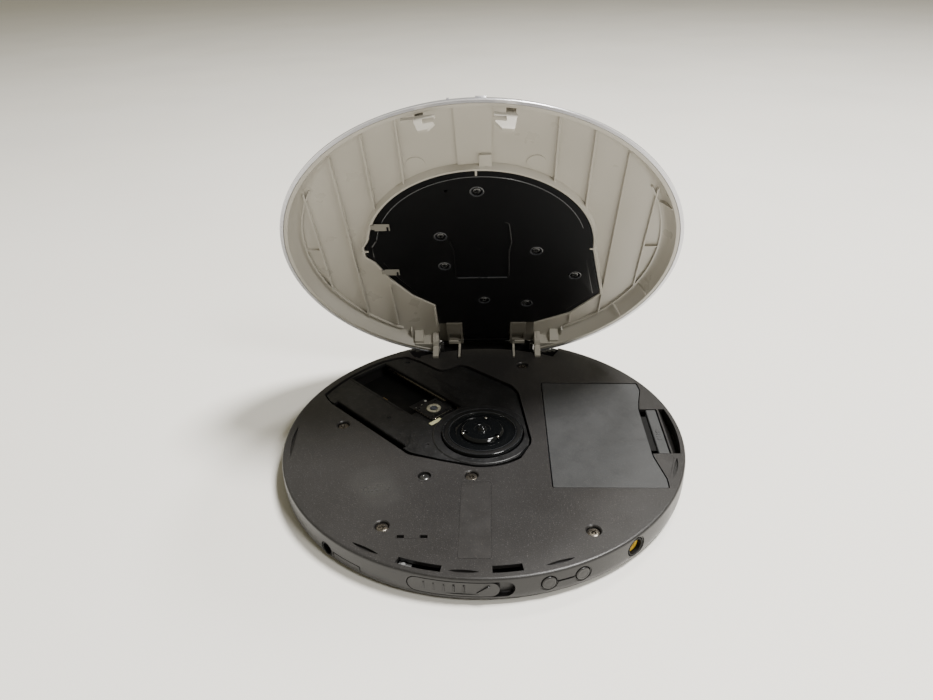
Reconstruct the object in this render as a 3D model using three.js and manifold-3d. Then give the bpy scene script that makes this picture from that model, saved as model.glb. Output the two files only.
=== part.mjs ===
// A portable compact-disc player, 132 mm across, shown with its lid open and its battery door shut.
// Millimetres, +Z up. The origin is on the turntable's axis, at the plane that the feet rest on.
// +Y points to the lid's hinge and -Y to the opening slider, so azimuths are measured from -Y towards +X.
// The lid is designed shut, above the base, and its group then turns it open about the hinge.
import * as THREE from "three";
import { mergeVertices } from "three/addons/utils/BufferGeometryUtils.js";
import Module from "manifold-3d";

const wasm = await Module();
wasm.setup();

// ---- driving dimensions ----
const RADIUS = 66; // outer radius of the base and the lid
const SIDES = 64; // flats round the large turned shells
const GAP = 0.3; // air between two separate pieces
const FOOT = 0.5; // how far the feet stand out below the bottom cover
const FLOOR_TOP = 1.3; // upper face of the bottom cover
const CASE_LOW = 1.6; // lower edge of the side wall
const DECK = 9.37; // upper face of the deck
const DECK_THICK = 1.2;
const DECK_LOW = DECK - DECK_THICK;
const WALL = 1.5; // thickness of the side wall
const WALL_IN = RADIUS - WALL;

const RIM = DECK + GAP; // lower edge of the shut lid
const CEILING = 14.4; // inner face of the lid frame
const FRAME_TOP = 15.0;
const COVER_LOW = 15.3; // inner face of the outer cover
const LID_TOP = 16.5;
const PLATE_LOW = 12.4; // visible face of the black plate in the lid
const OPEN_ANGLE = 60;

const HINGE = { x: 1.2, y: 58.69, z: 11.45 }; // x is the middle of the hinge
const PIN_R = 0.5;
const ARM = [19.0, 21.2]; // the hinge arms, as distances from the hinge's middle
const EAR = [17.2, 18.6]; // the posts on the base that hold the hinge pins
const LEG = [10.4, 11.2]; // thin stop legs under the brackets
const BRACKET = [9.3, 15.3];
const NOTCH = 18.8; // half width of the gap in the lid's rim
const TROUGH = { half: 28.5, low: 3.2, inner: 58.1, outer: 63.8 };
const REAR_WALL = { inner: 64.3, right: 162.6, left: 195.2, step: 5.8, top: 10.0, ends: 11.2 };

const TILT = 45; // the pickup's track runs back and left, this far round from +Y
const TRACK = { x: -Math.SQRT1_2, y: Math.SQRT1_2 };
const ACROSS = { x: Math.SQRT1_2, y: Math.SQRT1_2 };
const LENS_AT = 24.8; // distance of the lens from the spindle, at the first track
const ROD_Z = 5.2;

const KEY_Z = 5.5; // height of the two keys in the side wall
const VOLUME_KEYS = [
  ["volume_down_key", 16.0],
  ["volume_up_key", 24.6],
];
const SLIDER_AZ = -4.4; // middle of the opening slider's window
const SUPPLY = { azimuth: 41, z: 5.2 };
const PHONES = { azimuth: -41.7, z: 4.1 };
const SLIDE = 2; // degrees between points on parts that slide round the wall

const DISC_SEAT = 10.2;
const TURNTABLE_R = 13.5;
const COLLAR_R = 16.8;

// ---- solids ----
function solid(geometry) {
  const g = geometry.clone();
  g.deleteAttribute("normal");
  g.deleteAttribute("uv");
  const merged = mergeVertices(g, 1e-4);
  return new wasm.Manifold(
    new wasm.Mesh({
      numProp: 3,
      vertProperties: new Float32Array(merged.attributes.position.array),
      triVerts: new Uint32Array(merged.index.array),
    }),
  );
}

function union(...parts) {
  return parts.reduce((whole, part) => whole.add(part));
}

function cut(body, ...tools) {
  return tools.reduce((left, tool) => left.subtract(tool), body);
}

function box(x0, x1, y0, y1, z0, z1) {
  const g = new THREE.BoxGeometry(x1 - x0, y1 - y0, z1 - z0);
  g.translate((x0 + x1) / 2, (y0 + y1) / 2, (z0 + z1) / 2);
  return solid(g);
}

// A box in the pickup track's own frame: d runs out along the track and n across it.
function trackBox(d0, d1, n0, n1, z0, z1) {
  const g = new THREE.BoxGeometry(n1 - n0, d1 - d0, z1 - z0);
  g.translate((n0 + n1) / 2, (d0 + d1) / 2, (z0 + z1) / 2);
  g.rotateZ(THREE.MathUtils.degToRad(TILT));
  return solid(g);
}

function onTrack(d, n) {
  return [d * TRACK.x + n * ACROSS.x, d * TRACK.y + n * ACROSS.y];
}

function disc(x, y, r, z0, z1, sides = 24) {
  const g = new THREE.CylinderGeometry(r, r, z1 - z0, sides);
  g.rotateX(Math.PI / 2);
  g.translate(x, y, (z0 + z1) / 2);
  return solid(g);
}

// A straight round rod between two points.
function rod(from, to, r, sides = 16) {
  const a = new THREE.Vector3(...from);
  const b = new THREE.Vector3(...to);
  const g = new THREE.CylinderGeometry(r, r, a.distanceTo(b), sides);
  const turn = new THREE.Quaternion().setFromUnitVectors(
    new THREE.Vector3(0, 1, 0),
    b.clone().sub(a).normalize(),
  );
  g.applyQuaternion(turn);
  const middle = a.add(b).multiplyScalar(0.5);
  g.translate(middle.x, middle.y, middle.z);
  return solid(g);
}

// A turned piece about the Z axis from [radius, z] pairs that start and end on the axis or close up.
function turned(profile, sides = 48) {
  const g = new THREE.LatheGeometry(
    profile.map(([r, z]) => new THREE.Vector2(r, z)),
    sides,
  );
  g.rotateX(Math.PI / 2);
  const made = solid(g);
  if (made.volume() > 0) return made;
  const back = new THREE.LatheGeometry(
    profile.map(([r, z]) => new THREE.Vector2(r, z)).reverse(),
    sides,
  );
  back.rotateX(Math.PI / 2);
  return solid(back);
}

function extruded(shape, z0, z1, curveSegments = 8) {
  const g = new THREE.ExtrudeGeometry(shape, {
    depth: z1 - z0,
    bevelEnabled: false,
    curveSegments,
  });
  g.translate(0, 0, z0);
  return solid(g);
}

function polygon(points) {
  return new THREE.Shape(points.map(([x, y]) => new THREE.Vector2(x, y)));
}

function rectangle(x0, x1, y0, y1) {
  return polygon([[x0, y0], [x1, y0], [x1, y1], [x0, y1]]);
}

function polar(r, azimuth) {
  const a = THREE.MathUtils.degToRad(azimuth);
  return [r * Math.sin(a), -r * Math.cos(a)];
}

function arcPoints(r, az0, az1, step = 5) {
  const count = Math.max(1, Math.ceil(Math.abs(az1 - az0) / step));
  return Array.from({ length: count + 1 }, (_, i) =>
    polar(r, az0 + ((az1 - az0) * i) / count),
  );
}

// A piece of ring between two radii, two azimuths and two heights.
function sector(r0, r1, az0, az1, z0, z1, step = 5) {
  const outline = [
    ...arcPoints(r1, az0, az1, step),
    ...arcPoints(r0, az1, az0, step),
  ];
  return extruded(polygon(outline), z0, z1);
}

// A shape drawn as [sideways, height], pushed out through the side wall at an azimuth.
function sideways(shape, azimuth, r0, r1) {
  const g = new THREE.ExtrudeGeometry(shape, {
    depth: r1 - r0,
    bevelEnabled: false,
    curveSegments: 8,
  });
  g.translate(0, 0, r0);
  g.rotateX(Math.PI / 2);
  g.rotateZ(THREE.MathUtils.degToRad(azimuth));
  return solid(g);
}

function stadium(u0, u1, v0, v1) {
  const r = (v1 - v0) / 2;
  const s = new THREE.Shape();
  s.moveTo(u0 + r, v0);
  s.lineTo(u1 - r, v0);
  s.absarc(u1 - r, v0 + r, r, -Math.PI / 2, Math.PI / 2, false);
  s.lineTo(u0 + r, v1);
  s.absarc(u0 + r, v0 + r, r, Math.PI / 2, (3 * Math.PI) / 2, false);
  return s;
}

function roundShape(r) {
  const s = new THREE.Shape();
  s.absarc(0, 0, r, 0, 2 * Math.PI, false);
  return s;
}

function roundedRect(cx, cy, w, h, r) {
  const s = new THREE.Shape();
  const [x0, x1, y0, y1] = [cx - w / 2, cx + w / 2, cy - h / 2, cy + h / 2];
  s.moveTo(x0 + r, y0);
  s.lineTo(x1 - r, y0);
  s.absarc(x1 - r, y0 + r, r, -Math.PI / 2, 0, false);
  s.lineTo(x1, y1 - r);
  s.absarc(x1 - r, y1 - r, r, 0, Math.PI / 2, false);
  s.lineTo(x0 + r, y1);
  s.absarc(x0 + r, y1 - r, r, Math.PI / 2, Math.PI, false);
  s.lineTo(x0, y0 + r);
  s.absarc(x0 + r, y0 + r, r, Math.PI, 1.5 * Math.PI, false);
  return s;
}

// A plate that stands in the YZ plane, between two distances to the left and right of the hinge's middle.
function hingePlate(side, span, points) {
  const g = new THREE.ExtrudeGeometry(polygon(points), {
    depth: span[1] - span[0],
    bevelEnabled: false,
  });
  // drawn as [y, z], then stood up so that its thickness runs along X
  g.applyMatrix4(
    new THREE.Matrix4().set(0, 0, 1, 0, 1, 0, 0, 0, 0, 1, 0, 0, 0, 0, 0, 1),
  );
  const x = side < 0 ? HINGE.x - span[1] : HINGE.x + span[0];
  g.translate(x, 0, 0);
  return solid(g);
}

function hingeBox(side, span, y0, y1, z0, z1) {
  const [a, b] = side < 0 ? [-span[1], -span[0]] : span;
  return box(HINGE.x + a, HINGE.x + b, y0, y1, z0, z1);
}

// A round wire wound into an open coil along +X from the origin.
function coil(radius, wire, length, turns, steps = 8) {
  class Helix extends THREE.Curve {
    getPoint(t, out = new THREE.Vector3()) {
      const a = 2 * Math.PI * turns * t;
      return out.set(length * t, radius * Math.cos(a), radius * Math.sin(a));
    }
  }
  const section = new THREE.Shape();
  section.absarc(0, 0, wire, 0, 2 * Math.PI, false);
  return new THREE.ExtrudeGeometry(section, {
    steps: turns * steps,
    extrudePath: new Helix(),
    curveSegments: 2,
    bevelEnabled: false,
  });
}

// ---- materials ----
function material(color, roughness, metalness = 0) {
  return new THREE.MeshStandardMaterial({ color, roughness, metalness });
}

const charcoal = material(0x3c3a38, 0.62);
const doorGrey = material(0x47494b, 0.6);
const black = material(0x101113, 0.45);
const gloss = material(0x08090b, 0.2);
const frameGrey = material(0xa39e90, 0.5);
const silver = material(0xb9bac2, 0.35, 0.6);
const steel = material(0xb4b3ae, 0.3, 0.9);
const rubber = material(0x1a1a1a, 0.85);
const boardGreen = material(0x1e4a2f, 0.5);
const chipBlack = material(0x17181a, 0.4);
const yellow = material(0xc9a92c, 0.45);
const cellBlue = material(0x3f5f8a, 0.4);
const white = material(0xd8d6cc, 0.4);
const lensBlue = material(0x93a7c8, 0.05);
const windowGrey = material(0x2b3338, 0.08);

function mesh(name, body, finish) {
  const m = body.getMesh();
  const g = new THREE.BufferGeometry();
  g.setAttribute(
    "position",
    new THREE.BufferAttribute(new Float32Array(m.vertProperties), 3),
  );
  g.setIndex(new THREE.BufferAttribute(new Uint32Array(m.triVerts), 1));
  g.computeVertexNormals();
  const made = new THREE.Mesh(g, finish);
  made.name = name;
  return made;
}

const group = new THREE.Group();
const base = new THREE.Group();
group.add(base);

// ---- places on the deck ----
const DECK_SCREWS = [
  [-47.7, 5.1],
  [15.0, 44.8],
  [-28.3, -45.5],
  [31.5, -47.5],
  [-3.2, -22.6],
];
const STUD = [-17.8, -23.0];
const SCREW_HEAD_R = 1.8;
const SCREW_R = 0.75;
const HEAD_LOW = 7.95;

// The opening over the disc drive. A positive inset draws the cover in it, with a wider gap at the front.
function driveOutline(inset) {
  const k = inset;
  const wide = 2.1 * inset;
  const front = arcPoints(18.8 - wide, -8, 42, 10);
  const back = arcPoints(63.0 - k, -141, -114, 9);
  return polygon([
    [-58.0 + k, 24.6],
    [-56.0 + k, 20.8],
    [-54.4 + k, 18.6 + k],
    [-28.2 + k, -7.6 + k],
    [-24.0 + k, -12.0 + wide],
    [-12.7, -15.7 + wide],
    ...front,
    [15.9 - k, -6.6],
    [16.3 - k, -4.2],
    [13.0 - k, 25.1],
    [10.8 - k, 30.1 - k],
    [-6.6 - k, 45.2 - k],
    [-9.6, 45.8 - k],
    [-13.1, 42.9 - k],
    [-16.6, 41.7 - k],
    [-24.7, 48.8 - k],
    [-30.7, 52.6 - k],
    [-35.1, 51.3 - k],
    ...back,
  ]);
}

// The battery door's outline. A positive spread draws the opening round it.
function doorOutline(spread) {
  const s = spread;
  return polygon([
    [21.65 - s, -28.5 - s],
    [56.1 + s, -28.9 - s],
    [56.3 + s, -24.8],
    [54.2 + s, -13.4],
    [54.2 + s, 13.9],
    [55.0 + s, 18.7],
    [56.6 + s, 25.9],
    [56.1 + s, 30.6 + s],
    [21.65 - s, 31.5 + s],
  ]);
}

const LATCH = { x0: 56.2, x1: 60.0, y0: -11.7, y1: 13.2 };
const SCOOP = { x0: 60.9, y0: -12.0, y1: 13.6 };

const SLOT_LEFT = [61.9, 64.3, -21, -9.6];
const SLOT_RIGHT = [61.2, 63.8, 2.9, 10.4];

// A shallow lens-shaped dip beside the deck's edge.
function dip(az0, az1) {
  const middle = (az0 + az1) / 2;
  const [ax, ay] = polar(63.2, az0);
  const [bx, by] = polar(63.2, az1);
  const [ox, oy] = polar(64.6, middle);
  const [ix, iy] = polar(62.2, middle);
  const s = new THREE.Shape();
  s.moveTo(ax, ay);
  s.quadraticCurveTo(ox, oy, bx, by);
  s.quadraticCurveTo(ix, iy, ax, ay);
  return extruded(s, DECK - 0.6, DECK + 1, 5);
}

function pinBore(side, from, to) {
  return rod(
    [HINGE.x + side * from, HINGE.y, HINGE.z],
    [HINGE.x + side * to, HINGE.y, HINGE.z],
    PIN_R + 0.1,
    8,
  );
}

// The deck and the side wall are one moulding.
function upperCase() {
  const shell = turned(
    [
      [0, DECK_LOW],
      [WALL_IN, DECK_LOW],
      [WALL_IN, CASE_LOW],
      [RADIUS - 0.15, CASE_LOW],
      [RADIUS, CASE_LOW + 0.4],
      [RADIUS, DECK - 0.35],
      [RADIUS - 0.4, DECK],
      [0, DECK],
    ],
    SIDES,
  );
  const bosses = DECK_SCREWS.map(([x, y]) => disc(x, y, 2.9, 6.9, DECK_LOW + 0.1, 14));
  const studBoss = disc(...STUD, 2.9, 6.6, DECK_LOW + 0.1, 14);
  const scoopBlock = box(60.3, 66, -14, 15.6, 4.2, DECK - 0.2).intersect(
    disc(0, 0, WALL_IN + 0.3, 0, 12, SIDES),
  );
  const keepUnder = extruded(polygon(troughPoints(0.8)), TROUGH.low - 0.8, DECK - 0.1);
  let body = union(shell, ...bosses, studBoss, scoopBlock, keepUnder);

  body = body.subtract(extruded(polygon(troughPoints(0)), TROUGH.low, 20));
  for (const side of [-1, 1]) {
    body = cut(
      body,
      // room for the rim of the opening lid: deep beside the notch in the rim, shallow farther out
      hingeBox(side, [NOTCH - GAP, 22.1], 57, 67, 6.3, 20),
      hingeBox(side, [22.0, 24.0], 57, 67, 7.1, 20),
      hingeBox(side, [23.9, 25.8], 57, 67, 7.8, 20),
      hingeBox(side, [25.7, TROUGH.half], 57, 67, 8.4, 20),
      hingeBox(side, [ARM[0] - 0.35, ARM[1] + 0.35], 50.6, 60, TROUGH.low, 20),
      hingeBox(side, [LEG[0] - 0.35, LEG[1] + 0.35], 50.8, 60, TROUGH.low, 20),
    );
    body = body.add(hingeBox(side, EAR, 58.15, 60.2, TROUGH.low - 0.2, 12.2));
    body = body.subtract(pinBore(side, EAR[0] - 1, EAR[1] + 1));
  }
  // the rear wall stands up in the gap in the lid's rim: low in the middle, higher at its two ends
  const wallPiece = (az0, az1, top) => sector(REAR_WALL.inner, RADIUS - 0.1, az0, az1, DECK - 1, top);
  const { left, right, step } = REAR_WALL;
  const rearWall = union(
    wallPiece(right, left, REAR_WALL.top),
    wallPiece(right, right + step, REAR_WALL.ends),
    wallPiece(left - step, left, REAR_WALL.ends),
  );
  body = body.add(rearWall);

  body = cut(
    body,
    extruded(driveOutline(0), 5, 20),
    extruded(doorOutline(0.35), 7, 20),
    box(53, 60.35, -12.05, 13.55, 4, 20),
    scoopCut(),
    box(60.2, 61.2, -3.4, 4.9, 7.0, 8.3),
    sector(...SLOT_LEFT, 7, 20),
    sector(...SLOT_RIGHT, 7, 20),
    box(-23.6, -21.5, -50.6, -49.4, 7, 20),
    box(-17.0, -14.9, -50.6, -49.4, 7, 20),
    dip(-34.5, -26),
    dip(-7.9, -0.2),
    dip(15.9, 23.6),
    dip(-94, -78),
    dip(67, 77),
    disc(...STUD, 2.1, 7.4, 20, 16),
  );
  for (const [x, y] of DECK_SCREWS)
    body = cut(body, disc(x, y, 2.1, HEAD_LOW - 0.1, 20, 16), disc(x, y, SCREW_R + 0.15, 5, 10, 8));

  // the side wall's openings: opening slider, two keys, supply socket and headphone socket
  body = cut(
    body,
    sideways(stadium(-15.0, 14.15, 2.8, 8.15), SLIDER_AZ, 60, 70),
    ...VOLUME_KEYS.map(([, az]) => sideways(roundShape(2.3), az, 60, 70).translate([0, 0, KEY_Z])),
    sideways(roundShape(3.1), SUPPLY.azimuth, 60, 70).translate([0, 0, SUPPLY.z]),
    sideways(roundShape(2.4), PHONES.azimuth, 60, 70).translate([0, 0, PHONES.z]),
    // the groove that joins the two keys
    sideways(rectangle(-2.6, 2.6, KEY_Z - 0.25, KEY_Z + 0.25), 20.3, 65.6, 70),
  );
  // door hinge lugs: the door's pins turn in two holes in the opening's ends
  for (const y of [-29.0, 31.6])
    body = body.subtract(rod([DOOR_AXIS.x, y - 1.3, DOOR_AXIS.z], [DOOR_AXIS.x, y + 1.3, DOOR_AXIS.z], 0.5, 8));
  return body;
}

function troughPoints(grow) {
  const half = THREE.MathUtils.radToDeg(Math.asin((TROUGH.half + grow) / 61));
  return [
    ...arcPoints(TROUGH.outer + (grow ? 0.9 : 0), 180 - half, 180 + half, 5),
    ...arcPoints(TROUGH.inner - grow, 180 + half, 180 - half, 5),
  ];
}

// The finger hollow outside the battery door's catch, deepest at its outer side.
function scoopCut() {
  const g = new THREE.ExtrudeGeometry(
    polygon([
      [SCOOP.x0, 12],
      [SCOOP.x0, DECK - 0.5],
      [61.6, 8.3],
      [62.4, 6.9],
      [63.2, 5.8],
      [64.4, 5.3],
      [64.4, 12],
    ]),
    { depth: SCOOP.y1 - SCOOP.y0, bevelEnabled: false },
  );
  g.rotateX(Math.PI / 2);
  g.translate(0, SCOOP.y1, 0);
  return solid(g).intersect(disc(0, 0, WALL_IN - 0.1, 0, 20, SIDES));
}

const DOOR_AXIS = { x: 22.3, z: 8.6 };
const LEVER = { r: 57, azimuth: -3.5, arm: 5.5, lean: 18.75 };
const DAMPERS = [
  [-44.5, 16.0],
  [9.2, 22.5],
  [-18.0, -6.0],
];

function bottomCover() {
  const pan = turned(
    [
      [0, FOOT],
      [RADIUS - 1.6, FOOT],
      [RADIUS - 0.3, FLOOR_TOP - 0.1],
      [RADIUS - 0.3, FLOOR_TOP],
      [0, FLOOR_TOP],
    ],
    SIDES,
  );
  const posts = [];
  const holes = [];
  for (const [x, y] of DECK_SCREWS) {
    posts.push(disc(x, y, 2.1, FLOOR_TOP - 0.1, 6.6, 12));
    holes.push(disc(x, y, SCREW_R + 0.1, 3.0, 8, 8));
  }
  for (const [x, y] of DAMPERS) posts.push(disc(x, y, 0.9, FLOOR_TOP - 0.1, 3.6, 8));
  const [px, py] = polar(LEVER.r, LEVER.azimuth);
  posts.push(disc(px, py, 1.0, FLOOR_TOP - 0.1, 5.0, 16));
  for (const [x, y] of FEET) holes.push(disc(x, y, 4.3, 0, FOOT + 0.3, 20));
  return cut(union(pan, ...posts), ...holes);
}

const FEET = [0, 120, 240].map((turn) => polar(50, turn));

base.add(mesh("upper_case", upperCase(), charcoal));
base.add(mesh("bottom_cover", bottomCover(), charcoal));
FEET.forEach(([x, y], i) => {
  const foot = disc(x, y, 4.0, 0, FOOT, 20);
  base.add(mesh(`foot_${i + 1}`, foot, rubber));
});

// ---- screws ----
function screw(x, y, headLow, headHigh, tip, headR = SCREW_HEAD_R, r = SCREW_R) {
  const head = disc(x, y, headR, headLow, headHigh, 12);
  const shank = disc(x, y, r, tip, headLow + 0.1, 6);
  const slots = [0, Math.PI / 2].map((turn) => {
    const g = new THREE.BoxGeometry(headR * 1.1, headR * 0.28, 0.8);
    g.rotateZ(turn + 0.5);
    g.translate(x, y, headHigh);
    return solid(g);
  });
  return cut(head.add(shank), ...slots);
}

DECK_SCREWS.forEach(([x, y], i) => {
  base.add(mesh(`case_screw_${i + 1}`, screw(x, y, HEAD_LOW, 8.75, 3.3), steel));
});

// A domed rivet in a wider hole, beside the front screw.
const studBody = turned([
  [0, 7.7],
  [1.75, 7.7],
  [1.75, 8.5],
  [1.2, 9.1],
  [0, 9.3],
], 20).translate([STUD[0], STUD[1], 0]);
base.add(mesh("deck_rivet", studBody, steel));

// ---- disc drive ----
function driveCover() {
  let body = extruded(driveOutline(0.8), 7.9, 8.9);
  const collar = turned(
    [
      [TURNTABLE_R + 0.4, 7.9],
      [COLLAR_R, 7.9],
      [COLLAR_R, 9.1],
      [COLLAR_R - 0.3, 9.3],
      [TURNTABLE_R + 0.7, 9.3],
      [TURNTABLE_R + 0.4, 9.0],
      [TURNTABLE_R + 0.4, 7.9],
    ],
    48,
  );
  body = body.add(collar.intersect(extruded(driveOutline(0.8), 7, 10)));
  return cut(
    body,
    disc(0, 0, TURNTABLE_R + 0.4, 0, 20, 48),
    trackBox(17.2, 60.3, -9.4, 6.5, 0, 20),
    // the long gap along the front left edge
    trackBox(12.7, 51.5, -26, -22.6, 0, 20),
    // a relief round the damper post at the front
    disc(...DAMPERS[2], 0.6, 8.5, 20, 12),
  );
}
base.add(mesh("drive_cover", driveCover(), black));

function chassisPlate() {
  const outline = polygon([
    [-50, 21],
    [-45, 13],
    [-24, -9],
    ...arcPoints(15, -40, 60, 12),
    [12, 27],
    [-8, 42],
    [-24, 46],
    [-33, 50],
    [-44, 41],
    [-50, 30],
  ]);
  let body = extruded(outline, 2.0, 2.6);
  for (const [d0, d1] of [[14.0, 15.2], [62.0, 62.9]]) {
    body = body.add(trackBox(d0, d1, -8.8, -6.4, 2.3, 6.6));
    body = body.add(trackBox(d0, d1, 7.8, 10.2, 2.3, 6.6));
  }
  body = body.add(trackBox(58.5, 62.9, -9.6, 10.6, 2.0, 2.6));
  body = body.add(trackBox(61.4, 62.4, -13.2, -8.9, 2.0, 6.2));
  const holes = DAMPERS.map(([x, y]) => disc(x, y, 1.9, 0, 5, 16));
  return cut(body, ...holes);
}
base.add(mesh("drive_chassis", chassisPlate(), steel));

DAMPERS.forEach(([x, y], i) => {
  const sleeve = turned([
    [1.2, 1.45],
    [2.6, 1.45],
    [2.6, 1.85],
    [1.6, 1.85],
    [1.6, 2.75],
    [2.6, 2.75],
    [2.6, 3.6],
    [1.2, 3.6],
    [1.2, 1.45],
  ], 10).translate([x, y, 0]);
  base.add(mesh(`drive_damper_${i + 1}`, sleeve, rubber));
});

const motorBody = turned([
  [1.1, 2.9],
  [8.6, 2.9],
  [9.2, 3.5],
  [9.2, 6.2],
  [8.6, 6.8],
  [1.1, 6.8],
  [1.1, 2.9],
], 32);
base.add(mesh("spindle_motor", motorBody, steel));

for (const [name, n] of [["guide_rod_main", -7.6], ["guide_rod_side", 9.0]]) {
  const from = [...onTrack(15.5, n), ROD_Z];
  const to = [...onTrack(61.7, n), ROD_Z];
  base.add(mesh(name, rod(from, to, 0.9, 16), steel));
}
const SCREW_N = -11.9;
const feedBody = rod([...onTrack(16.2, SCREW_N), ROD_Z], [...onTrack(23.2, SCREW_N), ROD_Z], 2.4, 20);
base.add(mesh("feed_motor", feedBody, steel));

// The lead screw's thread is drawn as a row of rings.
function leadScrew() {
  const length = 37;
  const pitch = 3.7;
  const profile = [[0, 0]];
  for (let s = 0; s < length - pitch; s += pitch) profile.push([1.1, s], [1.1, s + 2.2], [0.75, s + 2.8]);
  profile.push([0.9, length], [0, length]);
  const g = turned(profile, 8);
  return g.rotate([-90, 0, 0]).rotate([0, 0, TILT]).translate([...onTrack(23.6, SCREW_N), ROD_Z]);
}
base.add(mesh("lead_screw", leadScrew(), steel));

function pickupSled() {
  const half = 5.2;
  const deckTop = 7.5;
  let body = trackBox(LENS_AT - half, LENS_AT + half, -half, half, 3.2, deckTop);
  body = body.add(trackBox(LENS_AT - 6, LENS_AT + 3.6, -9.2, -5.0, 3.6, 6.9));
  body = body.add(trackBox(LENS_AT - 2, LENS_AT + 2, 5.0, 10.4, 3.8, 6.6));
  body = body.add(trackBox(LENS_AT + 1.5, LENS_AT + 4.0, -13.2, -9.0, 6.6, 7.3));
  return cut(
    body,
    rod([...onTrack(10, -7.6), ROD_Z], [...onTrack(45, -7.6), ROD_Z], 1.0, 16),
    trackBox(LENS_AT - 3, LENS_AT + 3, 7.9, 11, ROD_Z - 1.0, ROD_Z + 1.0),
    disc(...onTrack(LENS_AT, 0), 2.4, 5.6, 20, 24),
  );
}
base.add(mesh("pickup_sled", pickupSled(), black));

const lens = turned([
  [0, 6.0],
  [2.1, 6.0],
  [2.1, 7.6],
  [1.5, 8.0],
  [0.8, 8.25],
  [0, 8.35],
], 24).translate([...onTrack(LENS_AT, 0), 0]);
base.add(mesh("objective_lens", lens, lensBlue));

const turntable = turned([
  [0, 7.3],
  [3.0, 7.3],
  [3.0, 8.3],
  [12.4, 8.3],
  [TURNTABLE_R, 8.9],
  [TURNTABLE_R, DISC_SEAT - 0.2],
  [TURNTABLE_R - 0.3, DISC_SEAT],
  [11.2, DISC_SEAT],
  [10.9, 9.7],
  [0, 9.7],
], 32).add(disc(0, 0, 0.8, 5.0, 7.5, 8));
base.add(mesh("turntable", turntable, gloss));

const GRIPS = [-70, 50, 170];
const GRIP_R = 6.7;
const GRIP_Z = 10.6;
const GRIP_BALL_R = 0.55;
function hub() {
  const body = turned([
    [0, 10.0],
    [7.25, 10.0],
    [7.2, 10.4],
    [6.4, 11.2],
    [3.2, 11.0],
    [2.9, 10.8],
    [1.6, 10.8],
    [1.3, 11.5],
    [0.5, 11.9],
    [0, 11.9],
  ], 28);
  const pockets = GRIPS.map((az) => sector(5.3, 8, az - 7, az + 7, 9.9, 13));
  return cut(body, ...pockets);
}
base.add(mesh("centring_hub", hub(), gloss));
GRIPS.forEach((az, i) => {
  const ball = new THREE.SphereGeometry(GRIP_BALL_R, 8, 6);
  ball.translate(...polar(GRIP_R, az), GRIP_Z);
  base.add(mesh(`grip_ball_${i + 1}`, solid(ball), steel));
});

// ---- board and sockets ----
function mainBoard() {
  const outline = polygon([
    [-56.5, 9.5],
    [-51, 2],
    [-24.5, -22.5],
    [-8, -28],
    [-8, -46],
    ...arcPoints(58, -22, -98, 6),
  ]);
  const holes = DECK_SCREWS.map(([x, y]) => disc(x, y, 3.3, 0, 12, 16));
  return cut(extruded(outline, 5.45, 6.15), ...holes, disc(...STUD, 3.4, 0, 12, 16));
}
base.add(mesh("main_board", mainBoard(), boardGreen));
const chip = box(-36, -26, -33, -23, 3.9, 5.15);
base.add(mesh("processor_chip", chip, chipBlack));

// A socket's body lies along its own azimuth, behind the side wall.
function headphoneSocket() {
  const { azimuth, z } = PHONES;
  const nose = sideways(roundShape(2.05), azimuth, 60, 65.9).translate([0, 0, z]);
  const block = sideways(rectangle(-3.4, 3.4, 1.7, 5.2), azimuth, 51, 63.9);
  const shoulder = sideways(roundShape(2.6), azimuth, 58.6, 63.9).translate([0, 0, z + 0.2]);
  const bore = sideways(roundShape(1.78), azimuth, 52.5, 70).translate([0, 0, z]);
  return cut(union(nose, block, shoulder), bore);
}
base.add(mesh("headphone_socket", headphoneSocket(), black));

function supplySocket() {
  const shell = sideways(roundShape(2.8), SUPPLY.azimuth, 53, 65.7);
  const bore = sideways(roundShape(2.35), SUPPLY.azimuth, 54.2, 70);
  return shell.subtract(bore).translate([0, 0, SUPPLY.z]);
}
base.add(mesh("supply_socket", supplySocket(), black));
const supplyRing = sideways(roundShape(2.1), SUPPLY.azimuth, 56, 64.4)
  .subtract(sideways(roundShape(1.5), SUPPLY.azimuth, 50, 70))
  .translate([0, 0, SUPPLY.z]);
base.add(mesh("supply_socket_ring", supplyRing, yellow));

// ---- batteries under their door ----
const CELLS = [
  ["battery_left", 21.5],
  ["battery_right", 38.2],
];
const CELL = { w: 16.2, y0: -20.0, y1: 27.5, z0: 2.4, z1: 7.6 };
function batteryTray() {
  const outer = box(20.4, 55.3, -30.3, 32.0, 1.6, 6.6);
  const inner = box(21.2, 54.7, -29.7, 31.4, 2.1, 10);
  return outer.subtract(inner).intersect(disc(0, 0, WALL_IN - GAP, 0, 20, SIDES));
}
base.add(mesh("battery_tray", batteryTray(), black));
for (const [name, x] of CELLS) {
  const shape = roundedRect(0, 0, CELL.w, CELL.z1 - CELL.z0, 1.0);
  const g = new THREE.ExtrudeGeometry(shape, { depth: CELL.y1 - CELL.y0, bevelEnabled: false, curveSegments: 3 });
  g.rotateX(Math.PI / 2);
  g.translate(x + CELL.w / 2, CELL.y1, (CELL.z0 + CELL.z1) / 2);
  const tip = rod(
    [x + CELL.w / 2, CELL.y1 - 0.1, 5],
    [x + CELL.w / 2, CELL.y1 + 0.9, 5],
    2.2,
    16,
  );
  base.add(mesh(name, solid(g).add(tip), cellBlue));
  const spring = coil(2.2, 0.3, 8.2, 4);
  spring.rotateZ(-Math.PI / 2);
  spring.translate(x + CELL.w / 2, CELL.y0 - 0.6, 5);
  base.add(mesh(name.replace("battery", "contact_spring"), solid(spring), steel));
}
const contact = box(23, 52.9, 28.8, 29.3, 2.6, 7.4);
base.add(mesh("contact_plate", contact, steel));

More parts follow.
